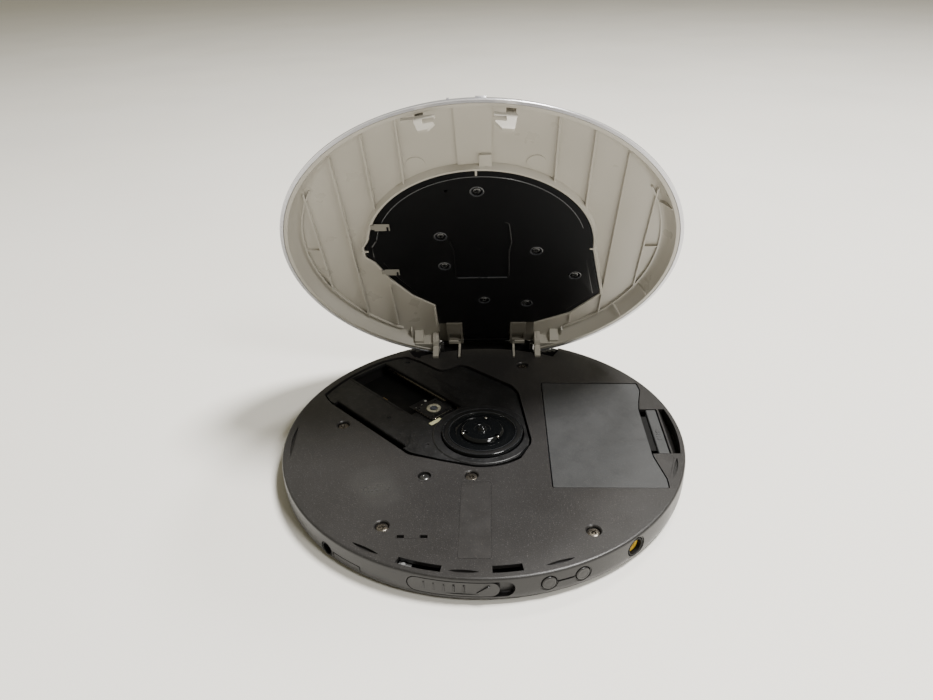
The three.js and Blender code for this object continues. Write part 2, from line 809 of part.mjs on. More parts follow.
function batteryDoor() {
  const plate = extruded(doorOutline(0), 8.1, 9.25);
  const pins = rod([DOOR_AXIS.x, -29.8, DOOR_AXIS.z], [DOOR_AXIS.x, 32.4, DOOR_AXIS.z], 0.4, 8);
  // the catch's tongue slides in this rebate, under the door's edge
  return plate.add(pins).subtract(box(51.9, 54.6, -9.3, 10.8, 8, 8.75));
}
const door = new THREE.Group();
base.add(door);
door.add(mesh("battery_door", batteryDoor(), doorGrey));

// The catch is a bar beside the door, with a nose that hooks under the edge of the finger hollow.
function doorCatch() {
  const bar = box(LATCH.x0, LATCH.x1, LATCH.y0, LATCH.y1, 7.4, 9.2);
  const nose = box(LATCH.x1 - 0.1, LATCH.x1 + 0.75, -3, 4.5, 7.4, 7.9);
  const guide = box(53.0, LATCH.x0 + 0.5, -9, 10.5, 7.85, 8.45);
  const ribs = [-2.2, -0.9, 0.4, 1.7].map((y) => box(57.0, 59.2, y, y + 0.5, 9.1, 9.4));
  return union(bar, nose, guide, ...ribs);
}
door.add(mesh("battery_catch", doorCatch(), doorGrey));

// ---- the opening mechanism ----
// The slider carries the left tongue. A lever turns its motion round for the right tongue.
const TONGUE = [6.15, 7.15];
const FLANGE = [5.2, 5.85];
function leverPin(sign) {
  const lean = THREE.MathUtils.degToRad(LEVER.lean);
  const along = sign * LEVER.arm * Math.cos(lean);
  const side = -sign * LEVER.arm * Math.sin(lean);
  const [px, py] = polar(LEVER.r + along, LEVER.azimuth);
  const turn = THREE.MathUtils.degToRad(LEVER.azimuth);
  return [px + side * Math.cos(turn), py + side * Math.sin(turn)];
}

function pinSlot(sign, z0, z1) {
  const r = Math.hypot(...leverPin(sign));
  const az = THREE.MathUtils.radToDeg(Math.atan2(leverPin(sign)[0], -leverPin(sign)[1]));
  const half = THREE.MathUtils.radToDeg(0.95 / r);
  return sector(r - 1.1, r + 1.1, az - half, az + half, z0, z1);
}

function openSlider() {
  const face = sideways(stadium(-14.7, 10.1, 3.1, 7.85), SLIDER_AZ, 58, 70).intersect(
    turned([[64.75, 0], [RADIUS, 0], [RADIUS, 12], [64.75, 12], [64.75, 0]], SIDES),
  );
  const neck = sector(61.0, 65.0, -9.2, -2.6, ...FLANGE, SLIDE);
  const riser = sector(61.9, 64.1, -9.2, -7.2, FLANGE[0], TONGUE[1], SLIDE);
  const tongue = sector(61.9, 64.1, -13.0, -7.2, ...TONGUE, SLIDE);
  const ribs = [-13.3, -10.9, -8.5, -6.2, -3.8].map((az) =>
    sector(65.9, RADIUS + 0.25, az - 0.25, az + 0.25, 4.3, 6.9, SLIDE),
  );
  return union(face, neck, riser, tongue, ...ribs).subtract(pinSlot(1, 4, 6.6));
}
base.add(mesh("open_slider", openSlider(), charcoal));

function rightLatch() {
  const tongue = sector(61.9, 63.7, 0.7, 6.9, ...TONGUE, SLIDE);
  const arm = sector(50.0, 62.2, 0.9, 2.7, ...TONGUE, SLIDE);
  const foot = sector(50.0, 53.6, -3.4, 2.7, ...TONGUE, SLIDE);
  return union(tongue, arm, foot).subtract(pinSlot(-1, 4, 9));
}
base.add(mesh("right_latch", rightLatch(), black));

function reversingLever() {
  const [px, py] = polar(LEVER.r, LEVER.azimuth);
  const outer = leverPin(1);
  const inner = leverPin(-1);
  const length = Math.hypot(outer[0] - inner[0], outer[1] - inner[1]);
  const g = new THREE.ExtrudeGeometry(stadium(-length / 2 - 1.3, length / 2 + 1.3, -1.6, 1.6), {
    depth: 0.8,
    bevelEnabled: false,
    curveSegments: 6,
  });
  g.rotateZ(Math.atan2(outer[1] - inner[1], outer[0] - inner[0]));
  g.translate(px, py, 4.1);
  return union(
    solid(g),
    disc(...outer, 0.6, 4.5, FLANGE[1], 12),
    disc(...inner, 0.6, 4.5, TONGUE[1], 12),
  ).subtract(disc(px, py, 1.1, 3, 6, 16));
}
base.add(mesh("reversing_lever", reversingLever(), steel));

// ---- volume keys ----
for (const [name, az] of VOLUME_KEYS) {
  const cap = turned(
    [[0, 62.6], [2.5, 62.6], [2.5, 63.6], [2.05, 63.6], [2.05, 66.0], [1.5, 66.35], [0, 66.45]],
    20,
  );
  const key = cap.rotate([90, 0, 0]).rotate([0, 0, az]).translate([0, 0, KEY_Z]);
  base.add(mesh(name, key, charcoal));
}

// ---- lid switch ----
const switchBody = sector(61.6, 64.1, -21, -17.6, 5.4, 7.3, SLIDE).subtract(
  disc(...polar(63.0, -19.3), 0.75, 6.0, 9, 12),
);
base.add(mesh("lid_switch", switchBody, black));
base.add(mesh("lid_switch_plunger", disc(...polar(63.0, -19.3), 0.6, 6.5, 8.35, 12), white));

// ---- lid, drawn shut ----
const lidPivot = new THREE.Group();
lidPivot.position.set(0, HINGE.y, HINGE.z);
lidPivot.rotation.x = -THREE.MathUtils.degToRad(OPEN_ANGLE);
const lid = new THREE.Group();
lid.position.set(0, -HINGE.y, -HINGE.z);
lidPivot.add(lid);
group.add(lidPivot);

// The outline of the black plate in the lid. A positive spread draws the lip round it.
function plateOutline(spread) {
  const s = spread;
  return polygon([
    ...arcPoints(37.5 + s, -80, 90, 10),
    [42.8 + s, 25.6],
    [32.9 + s * 0.6, 38 + s * 0.7],
    [19.4, 45 + s],
    [10.3 + s, 45 + s],
    [10.3 + s, 56.2 + s],
    [-7.9 - s, 56.2 + s],
    [-7.9 - s, 45 + s],
    [-17.3 - s, 45.4 + s],
    [-17.5 - s, 32.4],
    [-25.4 - s * 0.6, 25.8 + s * 0.6],
    [-32.2 - s * 0.8, 15.6 + s * 0.5],
    [-36.4 - s, 6.2],
    [-39.2 - s, 3.2],
    [-39.2 - s, -2.2],
    [-37.8 - s, -4.6],
  ]);
}

function notchCut(z0, z1, y = 60) {
  return box(HINGE.x - NOTCH, HINGE.x + NOTCH, y, 70, z0, z1);
}

const KEYS = [
  ["play_key", roundedRect(0, 9, 13, 13, 6.4)],
  ["stop_key", roundedRect(0, 22.5, 10, 7, 3)],
  ["skip_back_key", roundedRect(-15.5, 9, 10, 9, 3)],
  ["skip_forward_key", roundedRect(15.5, 9, 10, 9, 3)],
];
const KEY_HOLES = [
  roundedRect(0, 9, 13.6, 13.6, 6.7),
  roundedRect(0, 22.5, 10.6, 7.6, 3.3),
  roundedRect(-15.5, 9, 10.6, 9.6, 3.3),
  roundedRect(15.5, 9, 10.6, 9.6, 3.3),
];
const KEY_FEET = [
  roundedRect(0, 9, 15, 15, 7.4),
  roundedRect(0, 22.5, 12, 9, 3),
  roundedRect(-15.5, 9, 12, 11, 3),
  roundedRect(15.5, 9, 12, 11, 3),
];

function lidCover() {
  const cap = turned(
    [
      [0, COVER_LOW],
      [60.6, COVER_LOW],
      [61.2, 15.0],
      [62.4, 13.8],
      [63.65, 12.2],
      [65.0, 10.2],
      [65.0, RIM],
      [65.8, RIM],
      [RADIUS, 10.1],
      [65.4, 10.95],
      [64.3, 12.3],
      [63.05, 13.9],
      [61.7, 15.4],
      [59.6, 16.2],
      [56, 16.45],
      [0, LID_TOP],
    ],
    SIDES,
  );
  return cut(
    cap,
    notchCut(9, 20),
    extruded(roundedRect(0, -17, 32.6, 12.6, 3.3), 14, 20, 3),
    ...KEY_HOLES.map((shape) => extruded(shape, 14, 20, 3)),
  );
}
lid.add(mesh("lid_cover", lidCover(), silver));

// A low rib across the lid's ceiling, parallel to Y.
function rib(x, y0, y1) {
  return box(x - 0.35, x + 0.35, y0, y1, CEILING - 0.8, CEILING + 0.1);
}

// The two hooks face each other. Each is drawn as [sideways, z] about its own azimuth: a body, a bar
// at its top and a chamfered tip that the tongue goes behind. A thinner neck joins it to the rim wall.
function hook(side) {
  if (side > 0) {
    const right = polygon([
      [-3.2, 9.1], [-3.2, 7.7], [0.25, 7.7], [0.25, 5.9], [-2.75, 5.9], [-2.8, 5.4], [-1.0, 3.1],
      [2.3, 3.1], [3.2, 8.7], [2.9, 9.1],
    ]);
    const neck = polygon([[0.25, 9.0], [2.9, 9.0], [2.9, 13.2], [0.25, 13.2]]);
    return sideways(right, 7.1, 61.5, 62.4).add(sideways(neck, 7.1, 61.5, 62.0));
  }
  const left = polygon([
    [-5.2, 9.9], [-5.2, 8.85], [-1.4, 8.4], [-1.4, 7.2], [-0.1, 3.6], [2.6, 3.5], [4.35, 5.3],
    [4.2, 5.75], [1.0, 5.9], [0.8, 7.7], [4.4, 7.6], [4.4, 8.6],
  ]);
  const neck = polygon([[-1.4, 8.5], [1.0, 8.5], [1.0, 13.2], [-1.4, 13.2]]);
  return sideways(left, -14.2, 62.2, 63.1).add(sideways(neck, -14.2, 62.2, 62.6));
}

// Everything inside the frame's outer face.
function frameEnvelope() {
  return turned(
    [[0, 0], [64.7, 0], [64.7, 9.95], [63.3, 12.1], [62.0, 13.75], [60.9, FRAME_TOP], [0, FRAME_TOP]],
    SIDES,
  );
}

function lidFrame() {
  const ring = turned(
    [
      [0, CEILING],
      [60.2, CEILING],
      [61.3, 13.9],
      [62.3, 12.4],
      [63.6, RIM],
      [64.7, RIM],
      [64.7, 9.95],
      [63.3, 12.1],
      [62.0, 13.75],
      [60.9, FRAME_TOP],
      [0, FRAME_TOP],
    ],
    SIDES,
  );
  const lip = extruded(plateOutline(1.0), 12.0, FRAME_TOP - 0.1);
  const ribs = [];
  for (const side of [-1, 1]) {
    ribs.push(rib(side * 22.8, -54, -29), rib(side * 33.3, -48.5, -17));
    ribs.push(rib(side * 43.8, -40, 38.5), rib(side * 54.5, -24, 23));
    ribs.push(sector(59.1, 59.8, side > 0 ? 65 : -145, side > 0 ? 145 : -65, CEILING - 0.8, CEILING + 0.1, 10));
    ribs.push(box(side > 0 ? 54.5 : -59.3, side > 0 ? 59.3 : -54.5, 0.65, 1.35, CEILING - 0.7, CEILING + 0.1));
    ribs.push(disc(side > 0 ? 17 : -18.6, -38.4, 2.8, CEILING - 0.2, CEILING + 0.1, 20));
  }
  ribs.push(rib(-33.3, 22, 47.5), rib(33.3, 40.5, 47.5));
  ribs.push(box(-6.6, 4.2, -57, -37, CEILING - 0.35, CEILING + 0.1));
  ribs.push(box(0.2, 3.9, -42.8, -38.9, CEILING - 1.2, CEILING + 0.1));
  let body = union(ring, lip, ...ribs, hook(1), hook(-1)).intersect(frameEnvelope());

  body = body.subtract(extruded(plateOutline(0), 5, 20));
  body = body.subtract(notchCut(5, 20));
  // no lip round the plate's tail, only a bar behind it
  const [tailLeft, tailRight] = [HINGE.x - BRACKET[0], HINGE.x + BRACKET[0]];
  body = body.subtract(box(tailLeft, tailRight, 44.5, 61, 5, CEILING));
  body = body.add(box(tailLeft - 0.1, tailRight + 0.1, 56.6, 58.0, 12.2, CEILING + 0.1));
  const envelope = frameEnvelope();
  for (const side of [-1, 1]) {
    // room for the post that holds the hinge pin
    body = body.subtract(hingeBox(side, [EAR[0] - 0.6, NOTCH], 56.3, 62, 5, 13.4));
    const plateau = hingeBox(side, [19.0, 33.0], 51, 59.7, 11.9, CEILING + 0.1);
    const block = hingeBox(side, [25.4, 29.2], 47, 57, 11.6, CEILING + 0.1);
    const bracket = cut(
      hingeBox(side, BRACKET, 46.2, 59.5, 12.0, FRAME_TOP),
      hingeBox(side, [BRACKET[0] + 1, BRACKET[1] - 1], 52, 57.4, 10, 13.2),
    );
    const link = hingeBox(side, [BRACKET[1] - 0.1, 18.5], 46.6, 59.5, 13.4, FRAME_TOP);
    const arm = hingePlate(side, ARM, [
      [50.5, 14.6], [61.5, 14.6], [61.5, 10.2], [60.0, 8], [58.9, 4.5], [56.6, 4.5],
      [56.9, 8.6], [57.6, 9.6], [57.6, 11.0], [50.5, 11.0],
    ]);
    const leg = hingePlate(side, LEG, [
      [58.0, 12.4], [61.2, 12.4], [61.2, 10.0], [60.0, 6.5], [58.9, 4.5], [57.0, 4.5],
      [58.3, 8.0], [59.6, 9.6], [59.6, 11.9], [58.0, 11.9],
    ]);
    const fittings = union(plateau, block, bracket, link, arm, leg).intersect(envelope);
    body = body.add(fittings);
    body = body.subtract(pinBore(side, ARM[0] - 1, ARM[1] + 1));
  }
  return body;
}
lid.add(mesh("lid_frame", lidFrame(), frameGrey));

for (const side of [-1, 1]) {
  const name = side < 0 ? "hinge_pin_left" : "hinge_pin_right";
  const pin = rod(
    [HINGE.x + side * (EAR[0] + 0.1), HINGE.y, HINGE.z],
    [HINGE.x + side * (ARM[1] + 0.2), HINGE.y, HINGE.z],
    PIN_R,
    8,
  );
  base.add(mesh(name, pin, steel));
}

// The black plate, with a step inside its edge and a bottle-shaped emboss in the middle.
function lidPlate() {
  const plate = extruded(plateOutline(-0.35), PLATE_LOW, 13.3);
  const step = extruded(plateOutline(-2.6), PLATE_LOW - 0.25, PLATE_LOW + 0.1);
  const bottle = extruded(
    polygon([[-9.4, -14], [-10.2, -4], [-9.0, 0.5], [-9.0, 15.5], [9.5, 15.5], [9.5, 0.5], [10.2, -4], [9.2, -14]]),
    10,
    PLATE_LOW + 0.15,
  );
  return plate.add(step).subtract(bottle);
}
lid.add(mesh("lid_plate", lidPlate(), black));

const lidBoard = extruded(roundedRect(0, 0, 56, 56, 20), 13.6, 14.25, 4);
lid.add(mesh("lid_board", lidBoard, boardGreen));
lid.add(mesh("display_module", box(-16, 16, -23, -11, 14.5, 15.05), chipBlack));
lid.add(mesh("display_window", extruded(roundedRect(0, -17, 32, 12, 3), 15.4, 16.45, 3), windowGrey));
KEYS.forEach(([name, shape], i) => {
  const key = extruded(shape, 14.7, 16.95, 3).add(extruded(KEY_FEET[i], 14.7, 15.0, 3));
  lid.add(mesh(name, key, silver));
});

export default group;
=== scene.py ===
"""Portable CD player with its lid open. Shapes are in millimetres; piece() turns them into metres.

Azimuths are in degrees from -Y towards +X. Pieces of the lid are drawn shut and turned open by OPEN.
"""
import math
import random

import bmesh
import bpy
from mathutils import Matrix, Vector


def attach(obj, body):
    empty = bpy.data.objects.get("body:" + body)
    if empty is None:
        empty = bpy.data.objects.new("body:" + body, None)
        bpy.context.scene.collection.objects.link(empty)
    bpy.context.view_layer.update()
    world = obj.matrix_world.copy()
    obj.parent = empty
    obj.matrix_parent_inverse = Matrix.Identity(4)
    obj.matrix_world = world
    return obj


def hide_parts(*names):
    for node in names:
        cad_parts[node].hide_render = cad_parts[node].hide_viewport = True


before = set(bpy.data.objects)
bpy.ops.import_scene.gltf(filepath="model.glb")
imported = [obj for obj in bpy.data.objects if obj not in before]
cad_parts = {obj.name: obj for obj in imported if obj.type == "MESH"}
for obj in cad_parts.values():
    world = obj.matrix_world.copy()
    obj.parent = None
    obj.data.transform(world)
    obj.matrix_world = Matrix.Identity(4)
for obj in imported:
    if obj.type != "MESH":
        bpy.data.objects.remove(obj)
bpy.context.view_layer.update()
SCENE = bpy.context.scene
MM = 0.001

# ---- driving dimensions, as in the frame ----
RADIUS = 66.0
SIDES = 160
DECK = 9.37
DECK_LOW = 8.17
CASE_LOW = 1.6
WALL_IN = 64.5
RIM = 9.67
CEILING = 14.4
FRAME_TOP = 15.0
PLATE_LOW = 12.4
HINGE_X, HINGE_Y, HINGE_Z = 1.2, 58.69, 11.45
OPEN_ANGLE = 60.0
LENS_AT = 24.8
KEY_Z = 5.5
VOLUME_KEYS = {"volume_down": 16.0, "volume_up": 24.6}
SLIDER_AZ = -4.4
PHONES_AZ, PHONES_Z = -41.7, 4.1
SUPPLY_AZ, SUPPLY_Z = 41.0, 5.2
ROD_Z, ROD_N, SCREW_N = 5.2, -7.6, -11.9
TURNTABLE_R = 13.5
COLLAR_R = 16.8
DECK_SCREWS = [(-47.7, 5.1), (15.0, 44.8), (-28.3, -45.5), (31.5, -47.5), (-3.2, -22.6)]
STUD = (-17.8, -23.0)
DIAGONAL = math.sqrt(0.5)
EDGE_ANGLE = math.radians(38)
NODE_ANGLE = math.radians(32)

OPEN = (
    Matrix.Translation((0, HINGE_Y, HINGE_Z))
    @ Matrix.Rotation(math.radians(-OPEN_ANGLE), 4, "X")
    @ Matrix.Translation((0, -HINGE_Y, -HINGE_Z))
)


# ---- mesh code ----
def solid(points, faces):
    """A closed mesh with merged points and outward faces."""
    made = bpy.data.meshes.new("solid")
    made.from_pydata(points, [], faces)
    work = bmesh.new()
    work.from_mesh(made)
    bmesh.ops.remove_doubles(work, verts=work.verts, dist=1e-5)
    bmesh.ops.recalc_face_normals(work, faces=work.faces)
    work.to_mesh(made)
    work.free()
    return made


def lofted(sections):
    """A closed body through outlines that have the same number of points."""
    count = len(sections[0])
    assert all(len(section) == count for section in sections)
    points = [p for section in sections for p in section]
    faces = [list(range(count)), list(range(len(points) - count, len(points)))]
    for s in range(len(sections) - 1):
        for i in range(count):
            j = (i + 1) % count
            a, b = s * count, (s + 1) * count
            faces.append([a + i, a + j, b + j, b + i])
    return solid(points, faces)


def prism(outline, z0, z1):
    return layers((outline, z0), (outline, z1))


def box(x0, x1, y0, y1, z0, z1):
    return prism([(x0, y0), (x1, y0), (x1, y1), (x0, y1)], z0, z1)


def lathe(profile, sides=96):
    """Turned about Z from (radius, z) pairs that start and end on the axis or close up."""
    points, rings = [], []
    for r, z in profile:
        if r < 1e-6:
            rings.append([len(points)] * sides)
            points.append((0, 0, z))
            continue
        rings.append(list(range(len(points), len(points) + sides)))
        for i in range(sides):
            a = 2 * math.pi * i / sides
            points.append((r * math.cos(a), r * math.sin(a), z))
    pairs = list(zip(rings, rings[1:]))
    if profile[0][0] > 1e-6:
        pairs.append((rings[-1], rings[0]))
    faces = []
    for a, b in pairs:
        for i in range(sides):
            j = (i + 1) % sides
            face = list(dict.fromkeys([a[i], a[j], b[j], b[i]]))
            if len(face) > 2:
                faces.append(face)
    return solid(points, faces)


def disc(x, y, r, z0, z1, sides=48):
    return moved(lathe([(0, z0), (r, z0), (r, z1), (0, z1)], sides), x, y)


def moved(mesh, x=0.0, y=0.0, z=0.0, turn=0.0):
    mesh.transform(Matrix.Translation((x, y, z)) @ Matrix.Rotation(math.radians(turn), 4, "Z"))
    return mesh


def rod(start, end, r, sides=24):
    """A straight round rod between two points."""
    a, b = Vector(start), Vector(end)
    made = lathe([(0, 0), (r, 0), (r, (b - a).length), (0, (b - a).length)], sides)
    made.transform(Matrix.Translation(a) @ (b - a).to_track_quat("Z", "Y").to_matrix().to_4x4())
    return made


def wire(path, r, sides=8):
    """A round wire through a list of points."""
    path = [Vector(p) for p in path]
    sections = []
    normal = None
    for i, p in enumerate(path):
        along = (path[min(i + 1, len(path) - 1)] - path[max(i - 1, 0)]).normalized()
        if normal is None:
            normal = along.orthogonal().normalized()
        normal = (normal - along * normal.dot(along)).normalized()
        across = along.cross(normal)
        angles = [2 * math.pi * k / sides for k in range(sides)]
        sections.append([p + r * (math.cos(a) * normal + math.sin(a) * across) for a in angles])
    return lofted(sections)


def ball(x, y, z, r, sides=24):
    steps = sides // 2
    angles = [math.pi * (i / steps - 0.5) for i in range(1, steps)]
    made = lathe([(0, -1), *[(math.cos(a), math.sin(a)) for a in angles], (0, 1)], sides)
    made.transform(Matrix.Scale(r, 4))
    return moved(made, x, y, z)


def placed(name, data):
    """An object in the scene that carries a mesh, a lamp or a camera."""
    made = bpy.data.objects.new(name, data)
    SCENE.collection.objects.link(made)
    return made


def shaped(body, tools, operation):
    """A mesh joined with, cut by or kept inside others."""
    host = placed("host", body)
    helpers = [placed("tool", tool) for tool in tools]
    for o in helpers:
        step = host.modifiers.new("step", "BOOLEAN")
        step.operation = operation
        step.solver = "MANIFOLD"
        step.object = o
    bpy.context.view_layer.update()
    graph = bpy.context.evaluated_depsgraph_get()
    made = bpy.data.meshes.new_from_object(host.evaluated_get(graph))
    for o in [host, *helpers]:
        bpy.data.objects.remove(o)
    return made


def cut(body, *tools):
    return shaped(body, tools, "DIFFERENCE")


def join(body, *parts):
    return shaped(body, parts, "UNION")


def inside(body, *limits):
    return shaped(body, limits, "INTERSECT")


# ---- outlines ----
def polar(r, azimuth):
    a = math.radians(azimuth)
    return (r * math.sin(a), -r * math.cos(a))


def arc(r, az0, az1, step=2.0):
    count = max(1, math.ceil(abs(az1 - az0) / step))
    return [polar(r, az0 + (az1 - az0) * i / count) for i in range(count + 1)]


def sector(r0, r1, az0, az1, z0, z1, step=2.0):
    return prism(arc(r1, az0, az1, step) + arc(r0, az1, az0, step), z0, z1)


def corner(cx, cy, r, start, count=6):
    """A quarter turn that starts at an angle in degrees."""
    angles = [math.radians(start + 90 * i / count) for i in range(count + 1)]
    return [(cx + r * math.cos(a), cy + r * math.sin(a)) for a in angles]


def rounded(cx, cy, w, h, r):
    x, y = w / 2 - r, h / 2 - r
    return (
        corner(cx + x, cy - y, r, -90) + corner(cx + x, cy + y, r, 0)
        + corner(cx - x, cy + y, r, 90) + corner(cx - x, cy - y, r, 180)
    )


def slab(cx, cy, w, h, r, z0, z1):
    return prism(rounded(cx, cy, w, h, r), z0, z1)


def layers(*levels):
    """A closed body through flat outlines, each given with its height."""
    return lofted([[(x, y, z) for x, y in outline] for outline, z in levels])


def stadium(u0, u1, v0, v1):
    return rounded((u0 + u1) / 2, (v0 + v1) / 2, u1 - u0, v1 - v0, (v1 - v0) / 2 - 0.001)


def circle(r, cx=0.0, cy=0.0, sides=40):
    angles = [2 * math.pi * i / sides for i in range(sides)]
    return [(cx + r * math.cos(a), cy + r * math.sin(a)) for a in angles]


def softened(outline, r):
    """The outline with each sharp corner cut by a small round of about radius r."""
    share, straight = 0.35, 165
    out = []
    count = len(outline)
    for i in range(count):
        a, p, b = (Vector(outline[(i + k) % count]) for k in (-1, 0, 1))
        to_a, to_b = a - p, b - p
        if to_a.length < 1e-6 or to_b.length < 1e-6:
            continue
        turn = math.degrees(to_a.angle(to_b))
        if turn > straight:
            out.append(tuple(p))
            continue
        reach = min(r, to_a.length * share, to_b.length * share)
        start, end = p + to_a.normalized() * reach, p + to_b.normalized() * reach
        for t in (0, 0.33, 0.67, 1):
            out.append(tuple((1 - t) ** 2 * start + 2 * t * (1 - t) * p + t * t * end))
    return out


def shrunk(outline, by):
    """A counter-clockwise outline moved inwards by a small distance."""
    out = []
    for i, (x, y) in enumerate(outline):
        before, after = Vector(outline[i - 1]), Vector(outline[(i + 1) % len(outline)])
        along = (after - before).normalized()
        out.append((x - along.y * by, y + along.x * by))
    return out


def sideways(outline, azimuth, r0, r1):
    """An outline drawn as (sideways, height), pushed out through the side wall at an azimuth."""
    a = math.radians(azimuth)
    out = Vector((math.sin(a), -math.cos(a), 0))
    side = Vector((math.cos(a), math.sin(a), 0))
    up = Vector((0, 0, 1))
    return lofted([[out * r + side * u + up * v for u, v in outline] for r in (r0, r1)])


def along_y(outline, y0, y1):
    """An outline drawn as (x, z), pushed out along Y."""
    return lofted([[(x, y, z) for x, z in outline] for y in (y0, y1)])


def tube(height, azimuth, r, r0, r1):
    """A round bar that points out through the side wall."""
    return sideways(circle(r, 0, height), azimuth, r0, r1)


def on_track(d, n):
    return ((n - d) * DIAGONAL, (n + d) * DIAGONAL)


def track_box(d0, d1, n0, n1, z0, z1):
    corners = [on_track(d0, n0), on_track(d0, n1), on_track(d1, n1), on_track(d1, n0)]
    return prism(corners, z0, z1)


def hinge_box(side, span, y0, y1, z0, z1):
    a, b = (-span[1], -span[0]) if side < 0 else span
    return box(HINGE_X + a, HINGE_X + b, y0, y1, z0, z1)


def hinge_plate(side, span, outline):
    """A plate in the YZ plane between two distances from the hinge's middle."""
    a, b = (-span[1], -span[0]) if side < 0 else span
    return lofted([[(HINGE_X + x, y, z) for y, z in outline] for x in (a, b)])


def hinge_bore(side, near, far):
    ends = [(HINGE_X + side * x, HINGE_Y, HINGE_Z) for x in (near, far)]
    return rod(*ends, 0.6)


# ---- looks ----
def look(
    name, colour, rough=0.5, metal=0.0, mottle=0.08, mottle_scale=70, grain=0.25, grain_scale=2600,
    specks=None, rough_spread=0.08, specular=0.5, coat=0.0, brushed=None, wear=0.0, waves=0.0,
    smudges=(), shade_below_deck=1.0,
):
    """A procedural finish: clouds of tone, fine grain, uneven gloss and, where asked, specks, wear and
    painted shade below the deck.

    Specks are given as (amount, colour, scale), smudges as (x, y, reach) in metres.
    """
    made = bpy.data.materials.new(name)
    made.use_nodes = True
    nodes, links = made.node_tree.nodes, made.node_tree.links

    def fill(node, **sockets):
        """Sets or links sockets by their names, written with _ for each space."""
        for key, value in sockets.items():
            socket = node.inputs[key.replace("_", " ")]
            if isinstance(value, bpy.types.NodeSocket):
                links.new(value, socket)
            else:
                socket.default_value = value
        return node

    def add(kind, **sockets):
        return fill(nodes.new("ShaderNode" + kind), **sockets)

    def noise(scale, detail, source):
        return add("TexNoise", Scale=scale, Detail=detail, Vector=source).outputs["Fac"]

    def ranged(source, low, high, to_low, to_high):
        n = add("MapRange", From_Min=low, From_Max=high, To_Min=to_low, To_Max=to_high, Value=source)
        return n.outputs["Result"]

    def mixed(share, a, b):
        n = add("Mix")
        n.data_type = "RGBA"
        links.new(share, n.inputs["Factor"])
        for value, key in ((a, "A"), (b, "B")):
            socket = [i for i in n.inputs if i.name == key and i.type == "RGBA"][0]
            if isinstance(value, tuple):
                socket.default_value = (*value, 1)
            else:
                links.new(value, socket)
        return [o for o in n.outputs if o.type == "RGBA"][0]

    place = nodes.new("ShaderNodeTexCoord").outputs["Object"]
    grain_place = add("Mapping", Scale=brushed, Vector=place).outputs["Vector"] if brushed else place
    clouds = noise(mottle_scale, 5, place)
    dark = tuple(c * (1 - mottle) for c in colour)
    light = tuple(min(1.0, c * (1 + mottle)) for c in colour)
    tone = mixed(ranged(clouds, 0.3, 0.7, 0, 1), dark, light)
    if specks:
        amount, speck_colour, speck_scale = specks
        tone = mixed(ranged(noise(speck_scale, 2, place), 0.62, 0.7, 0, amount), tone, speck_colour)
    if wear:
        worn = nodes.new("ShaderNodeNewGeometry").outputs["Pointiness"]
        pale = tuple(min(1.0, c * 1.6 + 0.05) for c in colour)
        tone = mixed(ranged(worn, 0.52, 0.62, 0, wear), tone, pale)
    gloss = ranged(noise(mottle_scale * 3, 6, place), 0.3, 0.7, rough - rough_spread, rough + rough_spread)
    if shade_below_deck < 1.0:
        # painted shade: below the deck the colour is darkened, standing in for the shade on the side wall
        height = add("SeparateXYZ", Vector=place).outputs["Z"]
        tone = mixed(ranged(height, 0.0088, 0.0094, 1.0, 0.0), tone, tuple(c * shade_below_deck for c in colour))
    for x, y, reach in smudges:
        # a rubbed patch is a little paler and glossier, and fades out at its edge
        away = nodes.new("ShaderNodeVectorMath")
        away.operation = "DISTANCE"
        away.inputs[1].default_value = (x, y, 0.0094)
        links.new(place, away.inputs[0])
        patch = ranged(away.outputs["Value"], reach * 0.6, reach, 0.26, 0.0)
        tone = mixed(patch, tone, (0.05, 0.05, 0.048))
        rubbed = nodes.new("ShaderNodeMath")
        rubbed.operation = "MULTIPLY_ADD"
        links.new(patch, rubbed.inputs[0])
        rubbed.inputs[1].default_value = -0.12
        links.new(gloss, rubbed.inputs[2])
        gloss = rubbed.outputs[0]
    bump = add("Bump", Strength=grain, Distance=0.00006, Height=noise(grain_scale, 3, grain_place))
    if waves:
        slow = add("Bump", Strength=waves, Distance=0.0004, Height=noise(35, 2, place))
        fill(bump, Normal=slow.outputs["Normal"])
    shader = nodes["Principled BSDF"]
    fill(shader, Base_Color=tone, Roughness=gloss, Normal=bump.outputs["Normal"])
    fill(shader, Metallic=metal, Specular_IOR_Level=specular, Coat_Weight=coat)
    if coat:
        fill(shader, Coat_Roughness=0.12)
    return made


def clear_look(name, colour, rough, ior=1.5):
    made = look(name, colour, rough=rough, mottle=0.04, grain=0.02, rough_spread=0.01, specular=0.6)
    shader = made.node_tree.nodes["Principled BSDF"]
    shader.inputs["Transmission Weight"].default_value = 0.85
    shader.inputs["IOR"].default_value = ior
    return made


CASE = look(
    "charcoal_case", (0.027, 0.0256, 0.0252), 0.34, mottle_scale=30, grain=0.6, grain_scale=3000,
    specks=(0.6, (0.12, 0.117, 0.115), 2900), specular=0.45, waves=0.02, rough_spread=0.05,
    smudges=[(-0.034, -0.0255, 0.0085), (-0.030, -0.0315, 0.0075)], shade_below_deck=0.46,
)
CONTROL = look(
    "charcoal_controls", (0.028, 0.0265, 0.026), 0.36, grain=0.4, specks=(0.3, (0.1, 0.095, 0.09), 2400),
    shade_below_deck=0.52,
)
DOOR = look(
    "door_grey", (0.040, 0.041, 0.042), 0.5, mottle=0.07, mottle_scale=90, grain=0.6, grain_scale=3400,
    specks=(0.5, (0.12, 0.12, 0.125), 4200), specular=0.45,
)
BLACK = look(
    "satin_black", (0.012, 0.012, 0.0125), 0.42, mottle=0.45, mottle_scale=160, grain=0.6,
    grain_scale=1500, specks=(0.6, (0.05, 0.05, 0.052), 1500), specular=0.42,
)
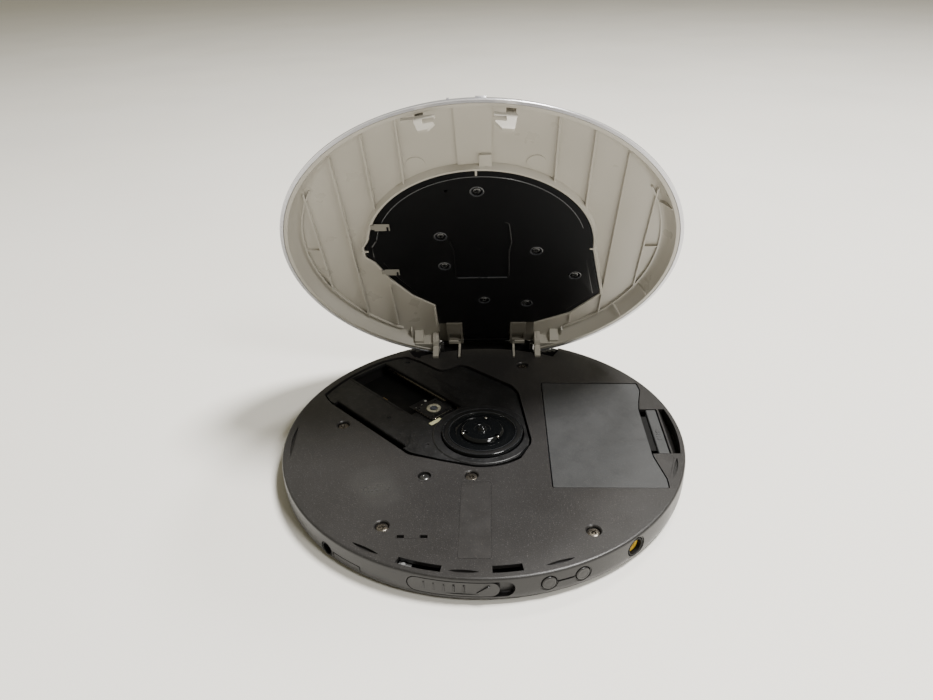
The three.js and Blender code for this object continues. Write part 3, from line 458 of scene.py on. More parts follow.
PIT = look("dull_black", (0.004, 0.004, 0.004), 0.6, mottle=0.2, grain=0.3, specular=0.2)
PLATE = look(
    "plate_black", (0.004, 0.004, 0.0045), 0.32, mottle=0.1, grain=0.05, specular=0.3, rough_spread=0.02,
)
# a lighter, glossier black for thin edges: painted highlights on black parts
EDGE_HIGHLIGHT = look("painted_edge_highlight", (0.03, 0.032, 0.036), 0.3, mottle=0.1, grain=0.05, specular=0.6, coat=0.4)
HUB = look(
    "hub_black", (0.004, 0.0045, 0.005), 0.1, mottle=0.1, grain=0.04, rough_spread=0.03, specular=0.42,
)
INNER = look(
    "lid_inner_grey", (0.40, 0.378, 0.33), 0.34, mottle=0.03, mottle_scale=30, grain=0.2,
    grain_scale=3200, specular=0.55, waves=0.03,
)
# a darker copy of the lid's grey for the hinge brackets: partly their own colour, partly painted shade
BRACKET_TONE_AND_SHADE = look("bracket_brown_and_painted_shade", (0.13, 0.12, 0.10), 0.38, mottle=0.1, grain=0.2)
SILVER = look(
    "silver_paint", (0.62, 0.62, 0.65), 0.3, metal=0.75, mottle=0.015, grain=0.08, grain_scale=6000,
    coat=0.35, rough_spread=0.012,
)
SCREW = look(
    "dark_screw", (0.14, 0.125, 0.105), 0.28, metal=0.9, mottle=0.25, mottle_scale=400, grain=0.2, wear=0.5,
)
CLIP = look("clip_grey", (0.2, 0.19, 0.165), 0.4, mottle=0.06, grain=0.15)
RIVET = look("dark_rivet", (0.10, 0.10, 0.10), 0.24, metal=0.85, mottle=0.15, mottle_scale=300, grain=0.1)
STEEL = look(
    "zinc_sheet", (0.30, 0.29, 0.275), 0.35, metal=0.95, mottle=0.15, mottle_scale=200, grain=0.25,
    brushed=(1, 12, 1),
)
BRIGHT = look("polished_steel", (0.72, 0.71, 0.69), 0.14, metal=1.0, mottle=0.05, grain=0.05)
PALE_METAL = look(
    "lens_mount", (0.62, 0.60, 0.48), 0.25, metal=0.5, mottle=0.3, mottle_scale=900, grain=0.2,
)
RUBBER = look("rubber", (0.022, 0.022, 0.022), 0.8, mottle=0.15, grain=0.6, grain_scale=1600, specular=0.25)
BOARD = look("board_green", (0.012, 0.06, 0.03), 0.35, mottle=0.3, mottle_scale=300, grain=0.3, coat=0.3)
CHIP = look("chip_black", (0.02, 0.02, 0.022), 0.5, mottle=0.15, grain=0.4)
YELLOW = look("socket_yellow", (0.62, 0.40, 0.03), 0.35, grain=0.1)
CREAM = look("cream_plastic", (0.62, 0.60, 0.36), 0.45, mottle=0.12, mottle_scale=500, grain=0.15)
BRASS = look("brass", (0.30, 0.2, 0.05), 0.35, metal=0.9, mottle=0.2, grain=0.1)
FLEX = look("flex_amber", (0.035, 0.018, 0.006), 0.35, mottle=0.15, grain=0.1, coat=0.3)
CELL_LOOK = look("cell_sleeve", (0.045, 0.08, 0.13), 0.3, grain=0.1, coat=0.5)
LENS = clear_look("lens_glass", (0.25, 0.28, 0.36), 0.02, ior=1.55)
WINDOW = clear_look("tinted_window", (0.12, 0.14, 0.15), 0.05)
WHITE = look("white_plastic", (0.6, 0.59, 0.54), 0.45, mottle=0.05, grain=0.1)
GREY = look("switch_grey", (0.17, 0.17, 0.172), 0.45, grain=0.15)


# ---- pieces ----
def soft_edges(made, width):
    edge = made.modifiers.new("edge", "BEVEL")
    edge.width = width * MM
    edge.segments = 2
    edge.limit_method = "ANGLE"
    edge.angle_limit = EDGE_ANGLE


def piece(name, mesh, body, finish, nodes=(), bevel=0.12):
    """A finished object in metres that rides on a CAD body and may stand for CAD nodes."""
    mesh.transform(Matrix.Scale(MM, 4))
    work = bmesh.new()
    work.from_mesh(mesh)
    bmesh.ops.remove_doubles(work, verts=work.verts, dist=2e-6)
    bmesh.ops.dissolve_limit(
        work, angle_limit=math.radians(0.4), verts=work.verts, edges=work.edges,
        use_dissolve_boundaries=False,
    )
    for face in work.faces:
        face.smooth = True
    work.to_mesh(mesh)
    work.free()
    made = placed(name, mesh)
    mesh.materials.clear()
    mesh.materials.append(finish)
    if bevel:
        soft_edges(made, bevel)
        shade = made.modifiers.new("shade", "WEIGHTED_NORMAL")
        shade.keep_sharp = True
    else:
        mesh.set_sharp_from_angle(angle=EDGE_ANGLE)
    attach(made, body)
    if nodes:
        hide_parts(*([nodes] if isinstance(nodes, str) else nodes))
    return made


def lid_piece(name, mesh, finish, nodes=(), bevel=0.12, body="lid"):
    """A piece of the lid: drawn shut, and turned open here."""
    mesh.transform(OPEN)
    return piece(name, mesh, body, finish, nodes, bevel)


def keep(node, finish, bevel):
    """A CAD node whose shape is right gets a finish, and soft edges where asked."""
    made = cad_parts[node]
    made.data.materials.clear()
    made.data.materials.append(finish)
    if bevel:
        soft_edges(made, bevel)
    made.data.set_sharp_from_angle(angle=NODE_ANGLE)


# ---- the base ----
def drive_outline(k):
    """The opening over the disc drive. A positive inset k draws the cover, with a wider gap at the front."""
    wide = 2.1 * k
    front = arc(18.8 - wide, -8, 42, 3)
    back = arc(63.0 - k, -141, -114, 3)
    return [
        (-58.0 + k, 24.6), (-56.0 + k, 20.8), (-54.4 + k, 18.6 + k), (-28.2 + k, -7.6 + k),
        (-24.0 + k, -12.0 + wide), (-12.7, -15.7 + wide), *front, (15.9 - k, -6.6), (16.3 - k, -4.2),
        (13.0 - k, 25.1), (10.8 - k, 30.1 - k), (-6.6 - k, 45.2 - k), (-9.6, 45.8 - k),
        (-13.1, 42.9 - k), (-16.6, 41.7 - k), (-24.7, 48.8 - k), (-30.7, 52.6 - k), (-35.1, 51.3 - k), *back,
    ]


def door_outline(s):
    """The battery door. A positive spread s draws the opening round it."""
    return [
        (21.65 - s, -28.5 - s), (56.1 + s, -28.9 - s), (56.3 + s, -24.8), (54.2 + s, -13.4),
        (54.2 + s, 13.9), (55.0 + s, 18.7), (56.6 + s, 25.9), (56.1 + s, 30.6 + s), (21.65 - s, 31.5 + s),
    ]


TROUGH_HALF, TROUGH_LOW, TROUGH_IN, TROUGH_OUT = 28.5, 3.2, 58.1, 63.8
HINGE_STEPS = [(18.5, 22.1, 6.3), (22.0, 24.0, 7.1), (23.9, 25.8, 7.8), (25.7, TROUGH_HALF, 8.4)]


def trough(grow):
    half = math.degrees(math.asin((TROUGH_HALF + grow) / 61))
    outer = arc(TROUGH_OUT + (0.9 if grow else 0), 180 - half, 180 + half)
    return outer + arc(TROUGH_IN - grow, 180 + half, 180 - half)


def bow(start, bulge, end, count=10):
    """Points of a quadratic curve, without its last one."""
    out = []
    for i in range(count):
        t = i / count
        weights = ((1 - t) ** 2, 2 * t * (1 - t), t * t)
        out.append(tuple(sum(w * p[k] for w, p in zip(weights, (start, bulge, end))) for k in (0, 1)))
    return out


def dip(az0, az1):
    """A lens-shaped hollow beside the deck's edge, with a floor that slopes outwards."""
    middle = (az0 + az1) / 2
    a, b = polar(63.2, az0), polar(63.2, az1)
    outer, inner = polar(64.55, middle), polar(62.2, middle)
    top = bow(a, outer, b) + bow(b, inner, a)
    low = [(x * 1.002, y * 1.002) for x, y in top]
    return layers((low, DECK - 0.75), (top, DECK + 1))


def scoop():
    """The finger hollow outside the battery catch."""
    depth = [
        (60.9, 12.0), (60.9, 8.9), (61.2, 8.5), (61.7, 7.9), (62.2, 7.0), (62.8, 6.1), (63.5, 5.5),
        (64.4, 5.3), (64.4, 12.0),
    ]
    return inside(along_y(depth, -12.0, 13.6), disc(0, 0, 64.4, 0, 20, SIDES))


def counterbore(x, y):
    return moved(lathe([(0, 7.85), (2.1, 7.85), (2.1, 9.05), (2.5, 9.45), (2.5, 12), (0, 12)], 48), x, y)


def upper_case():
    body = lathe([
        (0, DECK_LOW), (WALL_IN, DECK_LOW), (WALL_IN, CASE_LOW), (65.3, CASE_LOW), (65.55, 1.75),
        (65.85, 2.5), (65.97, 3.6), (RADIUS, 5.2), (RADIUS, 8.5), (65.95, 8.85), (65.78, 9.15),
        (65.5, 9.32), (65.2, DECK), (0, DECK),
    ], SIDES)
    bosses = [disc(x, y, 2.9, 6.9, DECK_LOW + 0.1) for x, y in [*DECK_SCREWS, STUD]]
    hollow_wall = inside(box(60.3, 66, -14, 15.6, 4.2, DECK - 0.2), disc(0, 0, WALL_IN + 0.3, 0, 12, SIDES))
    trough_wall = prism(trough(0.8), TROUGH_LOW - 0.8, DECK - 0.1)
    body = join(body, *bosses, hollow_wall, trough_wall)
    body = cut(body, prism(trough(0), TROUGH_LOW, 20))
    for side in (-1, 1):
        body = cut(
            body,
            *[hinge_box(side, (x0, x1), 57, 67, low, 20) for x0, x1, low in HINGE_STEPS],
            hinge_box(side, (18.65, 21.55), 50.6, 60, TROUGH_LOW, 20),
            hinge_box(side, (10.05, 11.55), 50.8, 60, TROUGH_LOW, 20),
        )
        ear = [(58.15, 3.0), (60.2, 3.0), (60.2, 11.6), (59.6, 12.2), (58.7, 12.2), (58.15, 11.7)]
        body = join(body, hinge_plate(side, (17.2, 18.6), ear))
        body = cut(body, hinge_bore(side, 16.2, 19.6))
    # the rear wall stands up in the gap in the lid's rim: low in the middle, higher at its two ends
    for az0, az1, top in ((162.6, 195.2, 10.0), (162.6, 168.4, 11.2), (189.4, 195.2, 11.2)):
        body = join(body, sector(64.3, 65.9, az0, az1, DECK - 1, top))
    lens = [dip(-34.5, -26), dip(-7.9, -0.2), dip(15.9, 23.6), dip(-94, -78), dip(67, 77)]
    body = cut(
        body,
        prism(softened(drive_outline(0), 1.2), 5, 20),
        prism(softened(door_outline(0.35), 0.6), 7, 20),
        box(53, 60.35, -12.05, 13.55, 4, 20),
        scoop(),
        box(60.2, 61.2, -3.4, 4.9, 7.0, 8.3),
        sector(61.9, 64.3, -21, -9.6, 7, 20),
        sector(61.2, 63.8, 2.9, 10.4, 7, 20),
        box(-23.6, -21.5, -50.6, -49.4, 7, 20),
        box(-17.0, -14.9, -50.6, -49.4, 7, 20),
        *lens,
        disc(*STUD, 2.1, 7.4, 20),
        *[counterbore(x, y) for x, y in DECK_SCREWS],
        *[disc(x, y, 0.9, 5, 10, 24) for x, y in DECK_SCREWS],
    )
    # shallow relief: a ring round the rivet, a plain label field, a tab between the slots, small marks
    ring = lathe([(2.75, DECK - 0.07), (3.0, DECK - 0.07), (3.0, 12), (2.75, 12)], 64)
    body = cut(
        body,
        moved(ring, *STUD),
        cut(
            slab(-1.7, -42.3, 9.4, 32.6, 0.6, DECK - 0.09, 12),
            slab(-1.7, -42.3, 9.0, 32.2, 0.5, 5, 13),
        ),
        box(-20.7, -20.55, -50.7, -49.3, DECK - 0.1, 12),
        box(-17.25, -17.1, -50.7, -49.3, DECK - 0.1, 12),
        box(-21.5, -17.0, -50.75, -50.65, DECK - 0.1, 12),
        disc(-25.5, 51.8, 0.75, 8.3, 20, 24),
        groove((60.7, -14.2), (57.4, -24.0)),
    )
    # the side wall's openings
    body = cut(
        body,
        sideways(stadium(-15.0, 14.15, 2.8, 8.15), SLIDER_AZ, 60, 70),
        *[tube(KEY_Z, az, 2.3, 60, 70) for az in VOLUME_KEYS.values()],
        *[tube(KEY_Z, az, 2.62, RADIUS - 0.25, 70) for az in VOLUME_KEYS.values()],
        tube(SUPPLY_Z, SUPPLY_AZ, 3.1, 60, 70),
        tube(SUPPLY_Z, SUPPLY_AZ, 3.5, RADIUS - 0.35, 70),
        tube(PHONES_Z, PHONES_AZ, 2.4, 60, 70),
        sideways([(-2.6, 5.2), (2.6, 5.2), (2.6, 5.8), (-2.6, 5.8)], 20.3, 65.55, 70),
        shallow_frame(-39.3, -30.2, 1.9, 4.8),
        *[rod((22.3, y - 1.3, 8.6), (22.3, y + 1.3, 8.6), 0.5, 16) for y in (-29.0, 31.6)],
    )
    return body


def groove(start, end):
    """A fine groove in the deck between two points."""
    a, b = Vector(start), Vector(end)
    side = (b - a).orthogonal().normalized() * 0.14
    outline = [tuple(a - side), tuple(b - side), tuple(b + side), tuple(a + side)]
    return prism(outline, DECK - 0.2, DECK + 2)


def shallow_frame(az0, az1, z0, z1):
    """A fine outline scored into the side wall."""
    outer = sector(RADIUS - 0.25, 70, az0, az1, z0, z1)
    return cut(outer, sector(60, 71, az0 + 0.35, az1 - 0.35, z0 + 0.3, z1 - 0.3))


piece("upper_case_shell", upper_case(), "base", CASE, "upper_case", bevel=0.1)

FEET = [polar(50, turn) for turn in (0, 120, 240)]
DAMPERS = [(-44.5, 16.0), (9.2, 22.5), (-18.0, -6.0)]
LEVER_POST = polar(57, -3.5)


def bottom_cover():
    pan = lathe([
        (0, 0.5), (60.5, 0.5), (62.5, 0.56), (64.0, 0.75), (64.9, 1.0), (65.2, 1.25), (65.2, 1.3),
        (0, 1.3),
    ], SIDES)
    posts = [disc(x, y, 2.1, 1.2, 6.6, 32) for x, y in DECK_SCREWS]
    posts += [disc(x, y, 0.9, 1.2, 3.6, 24) for x, y in DAMPERS]
    posts.append(disc(*LEVER_POST, 1.0, 1.2, 5.0, 24))
    body = join(pan, *posts)
    return cut(
        body,
        *[disc(x, y, 0.85, 3.0, 8, 24) for x, y in DECK_SCREWS],
        *[disc(x, y, 4.3, 0, 0.8, 48) for x, y in FEET],
        # a round line and a plain panel moulded into the underside
        lathe([(30.0, 0.2), (30.35, 0.2), (30.35, 0.62), (30.0, 0.62)], 128),
        slab(0, 12, 34, 20, 1.5, 0.2, 0.58),
    )


piece("bottom_cover_shell", bottom_cover(), "base", CASE, "bottom_cover", bevel=0.1)
for i, (x, y) in enumerate(FEET):
    profile = [(0, 0), (3.3, 0), (3.75, 0.1), (4.0, 0.3), (4.0, 0.5), (0, 0.5)]
    pad = moved(lathe(profile, 48), x, y)
    piece(f"rubber_foot_{i + 1}", pad, "base", RUBBER, f"foot_{i + 1}", bevel=0)


def cross_screw(head_r, head_low, head_high, tip, shank_r, turn):
    """A cross-head screw on the Z axis with a domed, chamfered head and a threaded shank."""
    threads = []
    pitch = 0.6
    count = max(1, int((head_low - tip - 0.3) / pitch))
    for k in range(count):
        z = tip + 0.3 + k * pitch
        threads += [(shank_r * 0.8, z), (shank_r, z + pitch * 0.5)]
    edge = head_high - 0.22
    profile = [
        (0, tip), (shank_r * 0.6, tip), *threads, (shank_r, head_low), (head_r, head_low), (head_r, edge),
        (head_r * 0.9, head_high - 0.08), (head_r * 0.65, head_high), (0, head_high),
    ]
    body = lathe(profile, 36)
    arms = []
    for quarter in (0, 90):
        outline = rounded(0, 0, head_r * 1.15, head_r * 0.3, head_r * 0.12)
        narrow = [(x * 0.6, y * 0.7) for x, y in outline]
        arm = layers((narrow, head_high - 0.6), (outline, head_high + 0.1))
        arms.append(moved(arm, turn=turn + quarter))
    return cut(body, *arms)


for i, (x, y) in enumerate(DECK_SCREWS):
    body = moved(cross_screw(1.8, 7.95, 8.78, 3.3, 0.75, 25 + 37 * i), x, y)
    piece(f"deck_screw_{i + 1}", body, "base", SCREW, f"case_screw_{i + 1}", bevel=0)
rivet = lathe(
    [(0, 7.7), (1.85, 7.7), (1.85, 8.5), (1.6, 8.85), (1.1, 9.1), (0.5, 9.2), (0.4, 9.12), (0, 9.1)], 48,
)
piece("deck_rivet_head", moved(rivet, *STUD), "base", RIVET, "deck_rivet", bevel=0)
field = slab(-1.7, -42.3, 8.8, 32.0, 0.5, DECK - 0.05, DECK + 0.03)
piece("label_field", field, "base", CONTROL, bevel=0.02)


# ---- the drive ----
def drive_cover():
    rim = softened(drive_outline(0.8), 1.2)
    under = shrunk(rim, 0.3)
    # the edge is undercut, so that the gap round the cover stays dark
    body = layers((under, 7.9), (rim, 8.6), (rim, 8.9))
    collar = lathe([
        (13.9, 7.9), (COLLAR_R, 7.9), (COLLAR_R, 9.0), (16.65, 9.2), (16.3, 9.3), (15.6, 9.3),
        (15.3, 9.15), (14.9, 9.15), (14.6, 9.3), (14.2, 9.3), (13.9, 9.1),
    ], 128)
    body = join(body, inside(collar, prism(drive_outline(0.8), 7, 10)))
    # a low rim along the slot and round the pickup's window
    land = track_box(13.5, 52.0, -22.4, -21.9, 8.8, 9.1)
    window_rim = cut(track_box(30.0, 61.5, -10.3, 7.4, 8.8, 9.05), track_box(17.0, 60.95, -9.7, 6.8, 8, 10))
    body = join(body, inside(join(land, window_rim), prism(drive_outline(1.1), 7, 10)))
    return cut(
        body,
        disc(0, 0, 13.9, 0, 20, 128),
        track_box(17.2, 60.9, -9.4, 6.5, 0, 20),
        track_box(12.7, 51.5, -26, -22.6, 0, 20),
        track_box(20.0, 31.0, 9.0, 9.35, 8.7, 20),
        track_box(20.0, 44.0, 13.0, 13.3, 8.75, 20),
        disc(*DAMPERS[2], 0.6, 8.5, 20, 24),
        disc(*on_track(55, 13), 1.0, 8.4, 20, 24),
        disc(*on_track(30, -16), 0.8, 8.5, 20, 24),
    )


piece("drive_cover_shell", drive_cover(), "base", BLACK, "drive_cover", bevel=0.14)


def turntable():
    body = lathe([
        (0, 7.3), (3.0, 7.3), (3.0, 8.3), (12.4, 8.3), (TURNTABLE_R, 8.9), (TURNTABLE_R, 9.95),
        (13.4, 10.14), (13.28, 10.2), (13.15, 10.2), (13.1, 10.1), (11.4, 10.1), (11.35, 10.2),
        (11.25, 10.2), (11.15, 10.1), (11.0, 9.75), (10.6, 9.65), (8.8, 9.65), (8.6, 9.75), (8.2, 9.75),
        (8.0, 9.65), (0, 9.65),
    ], 144)
    return join(body, disc(0, 0, 0.8, 5.0, 7.5, 32))


GRIPS = (-70, 50, 170)


def hub():
    body = lathe([
        (0, 9.95), (7.25, 9.95), (7.25, 10.3), (7.1, 10.55), (6.6, 11.05), (6.45, 11.17), (6.25, 11.2),
        (6.05, 11.14), (4.8, 11.0), (3.4, 10.93), (3.1, 10.98), (2.8, 10.95), (2.6, 10.75), (1.7, 10.7),
        (1.5, 10.8), (1.35, 11.3), (1.15, 11.6), (0.8, 11.72), (0.55, 11.72), (0.4, 11.85), (0, 11.9),
    ], 96)
    pockets = [sector(5.3, 8, az - 7, az + 7, 9.9, 13) for az in GRIPS]
    return cut(body, *pockets)


piece("turntable_disc", turntable(), "spindle", HUB, "turntable", bevel=0)
mat = lathe([(11.5, 10.1), (13.0, 10.1), (13.0, 10.21), (12.9, 10.24), (11.6, 10.24), (11.5, 10.21)], 144)
piece("turntable_mat", mat, "spindle", PIT, bevel=0)
# two thin rings in a lighter black: painted highlights on the turntable's edges
for name, r in (("turntable_ring_outer", 13.2), ("turntable_ring_inner", 11.25)):
    line = lathe([(r - 0.09, 10.15), (r + 0.09, 10.15), (r + 0.05, 10.29), (r - 0.05, 10.29)], 144)
    piece(name, line, "spindle", EDGE_HIGHLIGHT, bevel=0)
piece("hub_dome", hub(), "spindle", HUB, "centring_hub", bevel=0.06)
for i, az in enumerate(GRIPS):
    x, y = polar(6.7, az)
    body = ball(x, y, 10.6, 0.55)
    piece(f"steel_ball_{i + 1}", body, f"ball_{i + 1}", BRIGHT, f"grip_ball_{i + 1}", bevel=0)


def lens_box(d0, d1, n0, n1, z0, z1):
    """A box on the track, measured along it from the lens."""
    return track_box(LENS_AT + d0, LENS_AT + d1, n0, n1, z0, z1)


def pickup():
    body = lens_box(-5.2, 5.2, -5.2, 5.2, 3.2, 7.3)
    top = prism([on_track(LENS_AT + d, n) for d, n in rounded(0, 0, 9.6, 9.6, 0.8)], 7.2, 7.55)
    body = join(
        body,
        top,
        lens_box(-6, 3.4, -9.2, -5.0, 3.6, 6.9),
        lens_box(-2, 2, 5.0, 10.4, 3.8, 6.6),
        lens_box(1.5, 4.0, -13.2, -9.0, 6.6, 7.3),
    )
    x, y = on_track(LENS_AT, 0)
    return cut(
        body,
        rod((*on_track(10, ROD_N), ROD_Z), (*on_track(45, ROD_N), ROD_Z), 1.0),
        lens_box(-3, 3, 7.9, 11, 4.2, 6.2),
        disc(x, y, 2.4, 5.6, 20, 48),
        *[disc(*on_track(LENS_AT + d, n), 0.45, 7.0, 20, 20) for d in (-3.7, 3.7) for n in (-3.7, 3.7)],
        lens_box(-4.4, -3.1, -2.6, 2.6, 7.1, 20),
    )


piece("pickup_block", pickup(), "pickup", BLACK, "pickup_sled", bevel=0.12)


def at_lens(profile, sides=48):
    return moved(lathe(profile, sides), *on_track(LENS_AT, 0))


surround = at_lens([
    (1.45, 7.56), (2.3, 7.56), (2.55, 7.62), (2.55, 7.95), (2.35, 8.1), (2.0, 8.15), (1.75, 8.05),
    (1.45, 7.85),
])
notches = [sector(1.2, 3.0, az - 13, az + 13, 7.85, 9) for az in (20, 110, 200, 290)]
surround = cut(surround, *[moved(n, *on_track(LENS_AT, 0)) for n in notches])
piece("lens_surround", surround, "pickup", PALE_METAL, bevel=0.05)
glass = at_lens([
    (0, 6.0), (1.15, 6.0), (1.15, 7.5), (1.3, 7.7), (1.3, 7.9), (1.1, 8.1), (0.75, 8.25), (0.4, 8.33),
    (0, 8.35),
])
piece("lens_bead", glass, "lens", LENS, "objective_lens", bevel=0)
edge = lens_box(-5.15, -4.95, -4.7, 4.9, 7.4, 7.75)
piece("pickup_edge_strip", edge, "pickup", BRIGHT, bevel=0.04)
rail = lens_box(-4.8, 4.8, -5.15, -5.0, 7.4, 7.68)
piece("pickup_side_strip", rail, "pickup", SCREW, bevel=0.04)
flex = lofted([
    [(*on_track(d, n), z) for n in (-2.0, 2.0)] + [(*on_track(d - 0.12, n), z - 0.05) for n in (2.0, -2.0)]
    for d, z in ((29.9, 5.6), (30.5, 5.2), (30.8, 4.4), (30.8, 3.6))
])
piece("pickup_flex", flex, "pickup", FLEX, bevel=0)
# three soldered points on a small pad, on the floor of the drive behind the pickup
piece("solder_pad", track_box(33.6, 38.0, -0.8, 6.4, 2.55, 2.72), "base", BLACK, bevel=0.04)
for i, (d, n) in enumerate(((35.1, 0.3), (35.2, 3.1), (36.6, 5.9))):
    dot = lathe([(0, 2.6), (0.42, 2.6), (0.46, 2.75), (0.4, 2.9), (0.2, 3.0), (0, 3.02)], 20)
    piece(f"solder_dot_{i + 1}", moved(dot, *on_track(d, n)), "base", WHITE, bevel=0)

cream = prism([on_track(d, n) for d, n in rounded(16.5, -6.4, 1.5, 5.0, 0.12)], 8.95, 9.2)
piece("collar_stop", cream, "base", CREAM, bevel=0.08)
terminal = track_box(39.6, 42.0, -9.38, -9.05, 7.0, 8.85)
piece("window_terminal", terminal, "base", BRASS, bevel=0.05)


def lead_screw():
    """Turned along the track, with a fine helix for its thread."""
    start, length, pitch, steps = 23.6, 37.0, 3.7, 14
    core = rod((*on_track(start, SCREW_N), ROD_Z), (*on_track(start + length, SCREW_N), ROD_Z), 0.75)
    across = Vector((DIAGONAL, DIAGONAL, 0))
    up = Vector((0, 0, 1))
    path = []
    for k in range(int((length - 4) / pitch * steps)):
        a = 2 * math.pi * k / steps
        middle = Vector((*on_track(start + 1 + pitch * k / steps, SCREW_N), ROD_Z))
        path.append(middle + 0.82 * (math.cos(a) * across + math.sin(a) * up))
    return join(core, wire(path, 0.28, 6))


piece("feed_screw_thread", lead_screw(), "feed_screw", BRIGHT, "lead_screw", bevel=0)
KEPT = [
    (SCREW, 0, ["guide_rod_main", "guide_rod_side"]),
    (STEEL, 0.1, ["spindle_motor", "feed_motor", "reversing_lever"]),
    (RUBBER, 0.1, ["drive_damper_1", "drive_damper_2", "drive_damper_3"]),
    (RIVET, 0, ["hinge_pin_left", "hinge_pin_right"]),
    (BRIGHT, 0, ["contact_spring_left", "contact_spring_right", "contact_plate"]),
    (BOARD, 0, ["main_board", "lid_board"]),
    (CHIP, 0.08, ["processor_chip", "display_module"]),
    # the drive chassis is dull black partly as its own finish and partly as painted shade that keeps the pit
    # under the drive dark
    (PIT, 0.08, ["drive_chassis", "right_latch", "battery_tray"]),
    (GREY, 0.08, ["lid_switch", "lid_switch_plunger"]),
    (CELL_LOOK, 0.1, ["battery_left", "battery_right"]),
]
for finish, width, kept_nodes in KEPT:
    for node in kept_nodes:
        keep(node, finish, width)

# small parts soldered to the main board, beside the processor
random.seed(7)
parts = []
for k in range(16):
    r, az = random.uniform(30, 52), random.uniform(-80, -30)
    x, y = polar(r, az)
    w, h = random.choice([(2.0, 1.2), (1.6, 0.8), (3.2, 2.4)])
    parts.append(box(x, x + w, y, y + h, 6.3, 6.3 + w * 0.3))
piece("board_components", join(parts[0], *parts[1:]), "base", CHIP, bevel=0.05)


# ---- sockets ----
def headphone_socket():
    block = sideways([(-3.4, 1.7), (3.4, 1.7), (3.4, 5.2), (-3.4, 5.2)], PHONES_AZ, 51, 63.9)
    collar = tube(PHONES_Z + 0.2, PHONES_AZ, 2.6, 58.6, 63.9)
    body = join(tube(PHONES_Z, PHONES_AZ, 2.2, 60, 65.85), block, collar)
    return cut(body, tube(PHONES_Z, PHONES_AZ, 1.78, 52.5, 70))


piece("headphone_jack", headphone_socket(), "base", PIT, "headphone_socket", bevel=0.1)
blade = sideways([(-0.5, 5.35), (0.5, 5.35), (0.5, 5.7), (-0.5, 5.7)], PHONES_AZ, 55, 63)
piece("headphone_contact", blade, "base", BRASS, bevel=0.05)
supply = (SUPPLY_Z, SUPPLY_AZ)
shell = cut(tube(*supply, 2.8, 53, 65.7), tube(*supply, 2.4, 54.2, 70))
piece("supply_jack", shell, "base", PIT, "supply_socket", bevel=0.12)
ring = cut(tube(*supply, 2.35, 56, 64.4), tube(*supply, 1.2, 50, 70))
piece("supply_jack_ring", ring, "base", YELLOW, "supply_socket_ring", bevel=0.12)
pin = join(tube(*supply, 0.45, 54.3, 63.6), tube(*supply, 0.3, 63.5, 63.9))
piece("supply_jack_pin", pin, "base", BRIGHT, bevel=0)


# ---- battery door and catch ----
def battery_door():
    plate = prism(softened(door_outline(0), 0.5), 8.1, 9.25)
    pins = rod((22.3, -29.8, 8.6), (22.3, 32.4, 8.6), 0.4)
    return cut(join(plate, pins), box(51.9, 54.6, -9.3, 10.8, 8, 8.75))


piece("battery_door_panel", battery_door(), "door", DOOR, "battery_door", bevel=0.14)


def battery_catch():
    outline = [
        (56.5, 7.4), (60.0, 7.4), (60.0, 8.9), (59.85, 9.15), (59.5, 9.22), (57.0, 9.22), (56.7, 9.15),
        (56.5, 8.9),
    ]
    bar = along_y(outline, -11.7, 13.2)
    nose = box(59.9, 60.75, -3, 4.5, 7.4, 7.9)
    ribs = [slab(58.2, y, 1.5, 0.5, 0.24, 9.1, 9.42) for y in (-3.9, -2.6, -1.3)]
    arrow = [(57.4, 0.2), (58.2, -0.8), (59.0, 0.2), (58.5, 0.2), (58.5, 1.4), (57.9, 1.4), (57.9, 0.2)]
    return join(bar, nose, prism(arrow, 9.1, 9.4), *ribs)


piece("battery_catch_bar", battery_catch(), "catch", DOOR, "battery_catch", bevel=0.08)
piece("battery_catch_guide", box(53.0, 56.6, -9, 10.5, 7.85, 8.3), "catch", PIT, bevel=0.05)


# ---- controls in the side wall ----
def open_slider():
    face = inside(
        sideways(stadium(-14.7, 10.1, 3.1, 7.85), SLIDER_AZ, 58, 70),
        lathe([(64.75, 0), (RADIUS - 0.02, 0), (RADIUS - 0.02, 12), (64.75, 12)], SIDES),
    )
    field = sideways(stadium(-14.0, 9.4, 3.75, 7.2), SLIDER_AZ, RADIUS - 0.2, 70)
    face = cut(face, inside(field, lathe([(RADIUS - 0.2, 0), (70, 0), (70, 12), (RADIUS - 0.2, 12)], SIDES)))
    # the skirt behind the wall closes the slot beside the button
    skirt = inside(
        sideways(stadium(-13.0, 15.6, 3.2, 7.75), SLIDER_AZ, 58, 70),
        lathe([(64.0, 0), (64.4, 0), (64.4, 12), (64.0, 12)], SIDES),
    )
    neck = sector(61.0, 65.0, -9.2, -2.6, 5.2, 5.85)
    riser = sector(61.9, 64.1, -9.2, -7.2, 5.2, 7.15)
    tongue = sector(61.9, 64.1, -13.0, -7.2, 6.15, 7.15)
    ribs = []
    for az in (-13.3, -10.9, -8.5, -6.2, -3.8):
        sections = []
        for r, half, low, high in ((65.6, 0.34, 4.2, 7.0), (66.22, 0.1, 4.5, 6.7)):
            corners = [(-half, low), (half, low), (half, high), (-half, high)]
            sections.append([(*polar(r, az + w), z) for w, z in corners])
        ribs.append(lofted(sections))
    slash = sideways([(4.0, 4.4), (4.5, 4.2), (7.6, 6.6), (7.1, 6.8)], SLIDER_AZ, 65.4, RADIUS + 0.05)
    return join(face, skirt, neck, riser, tongue, slash, *ribs)


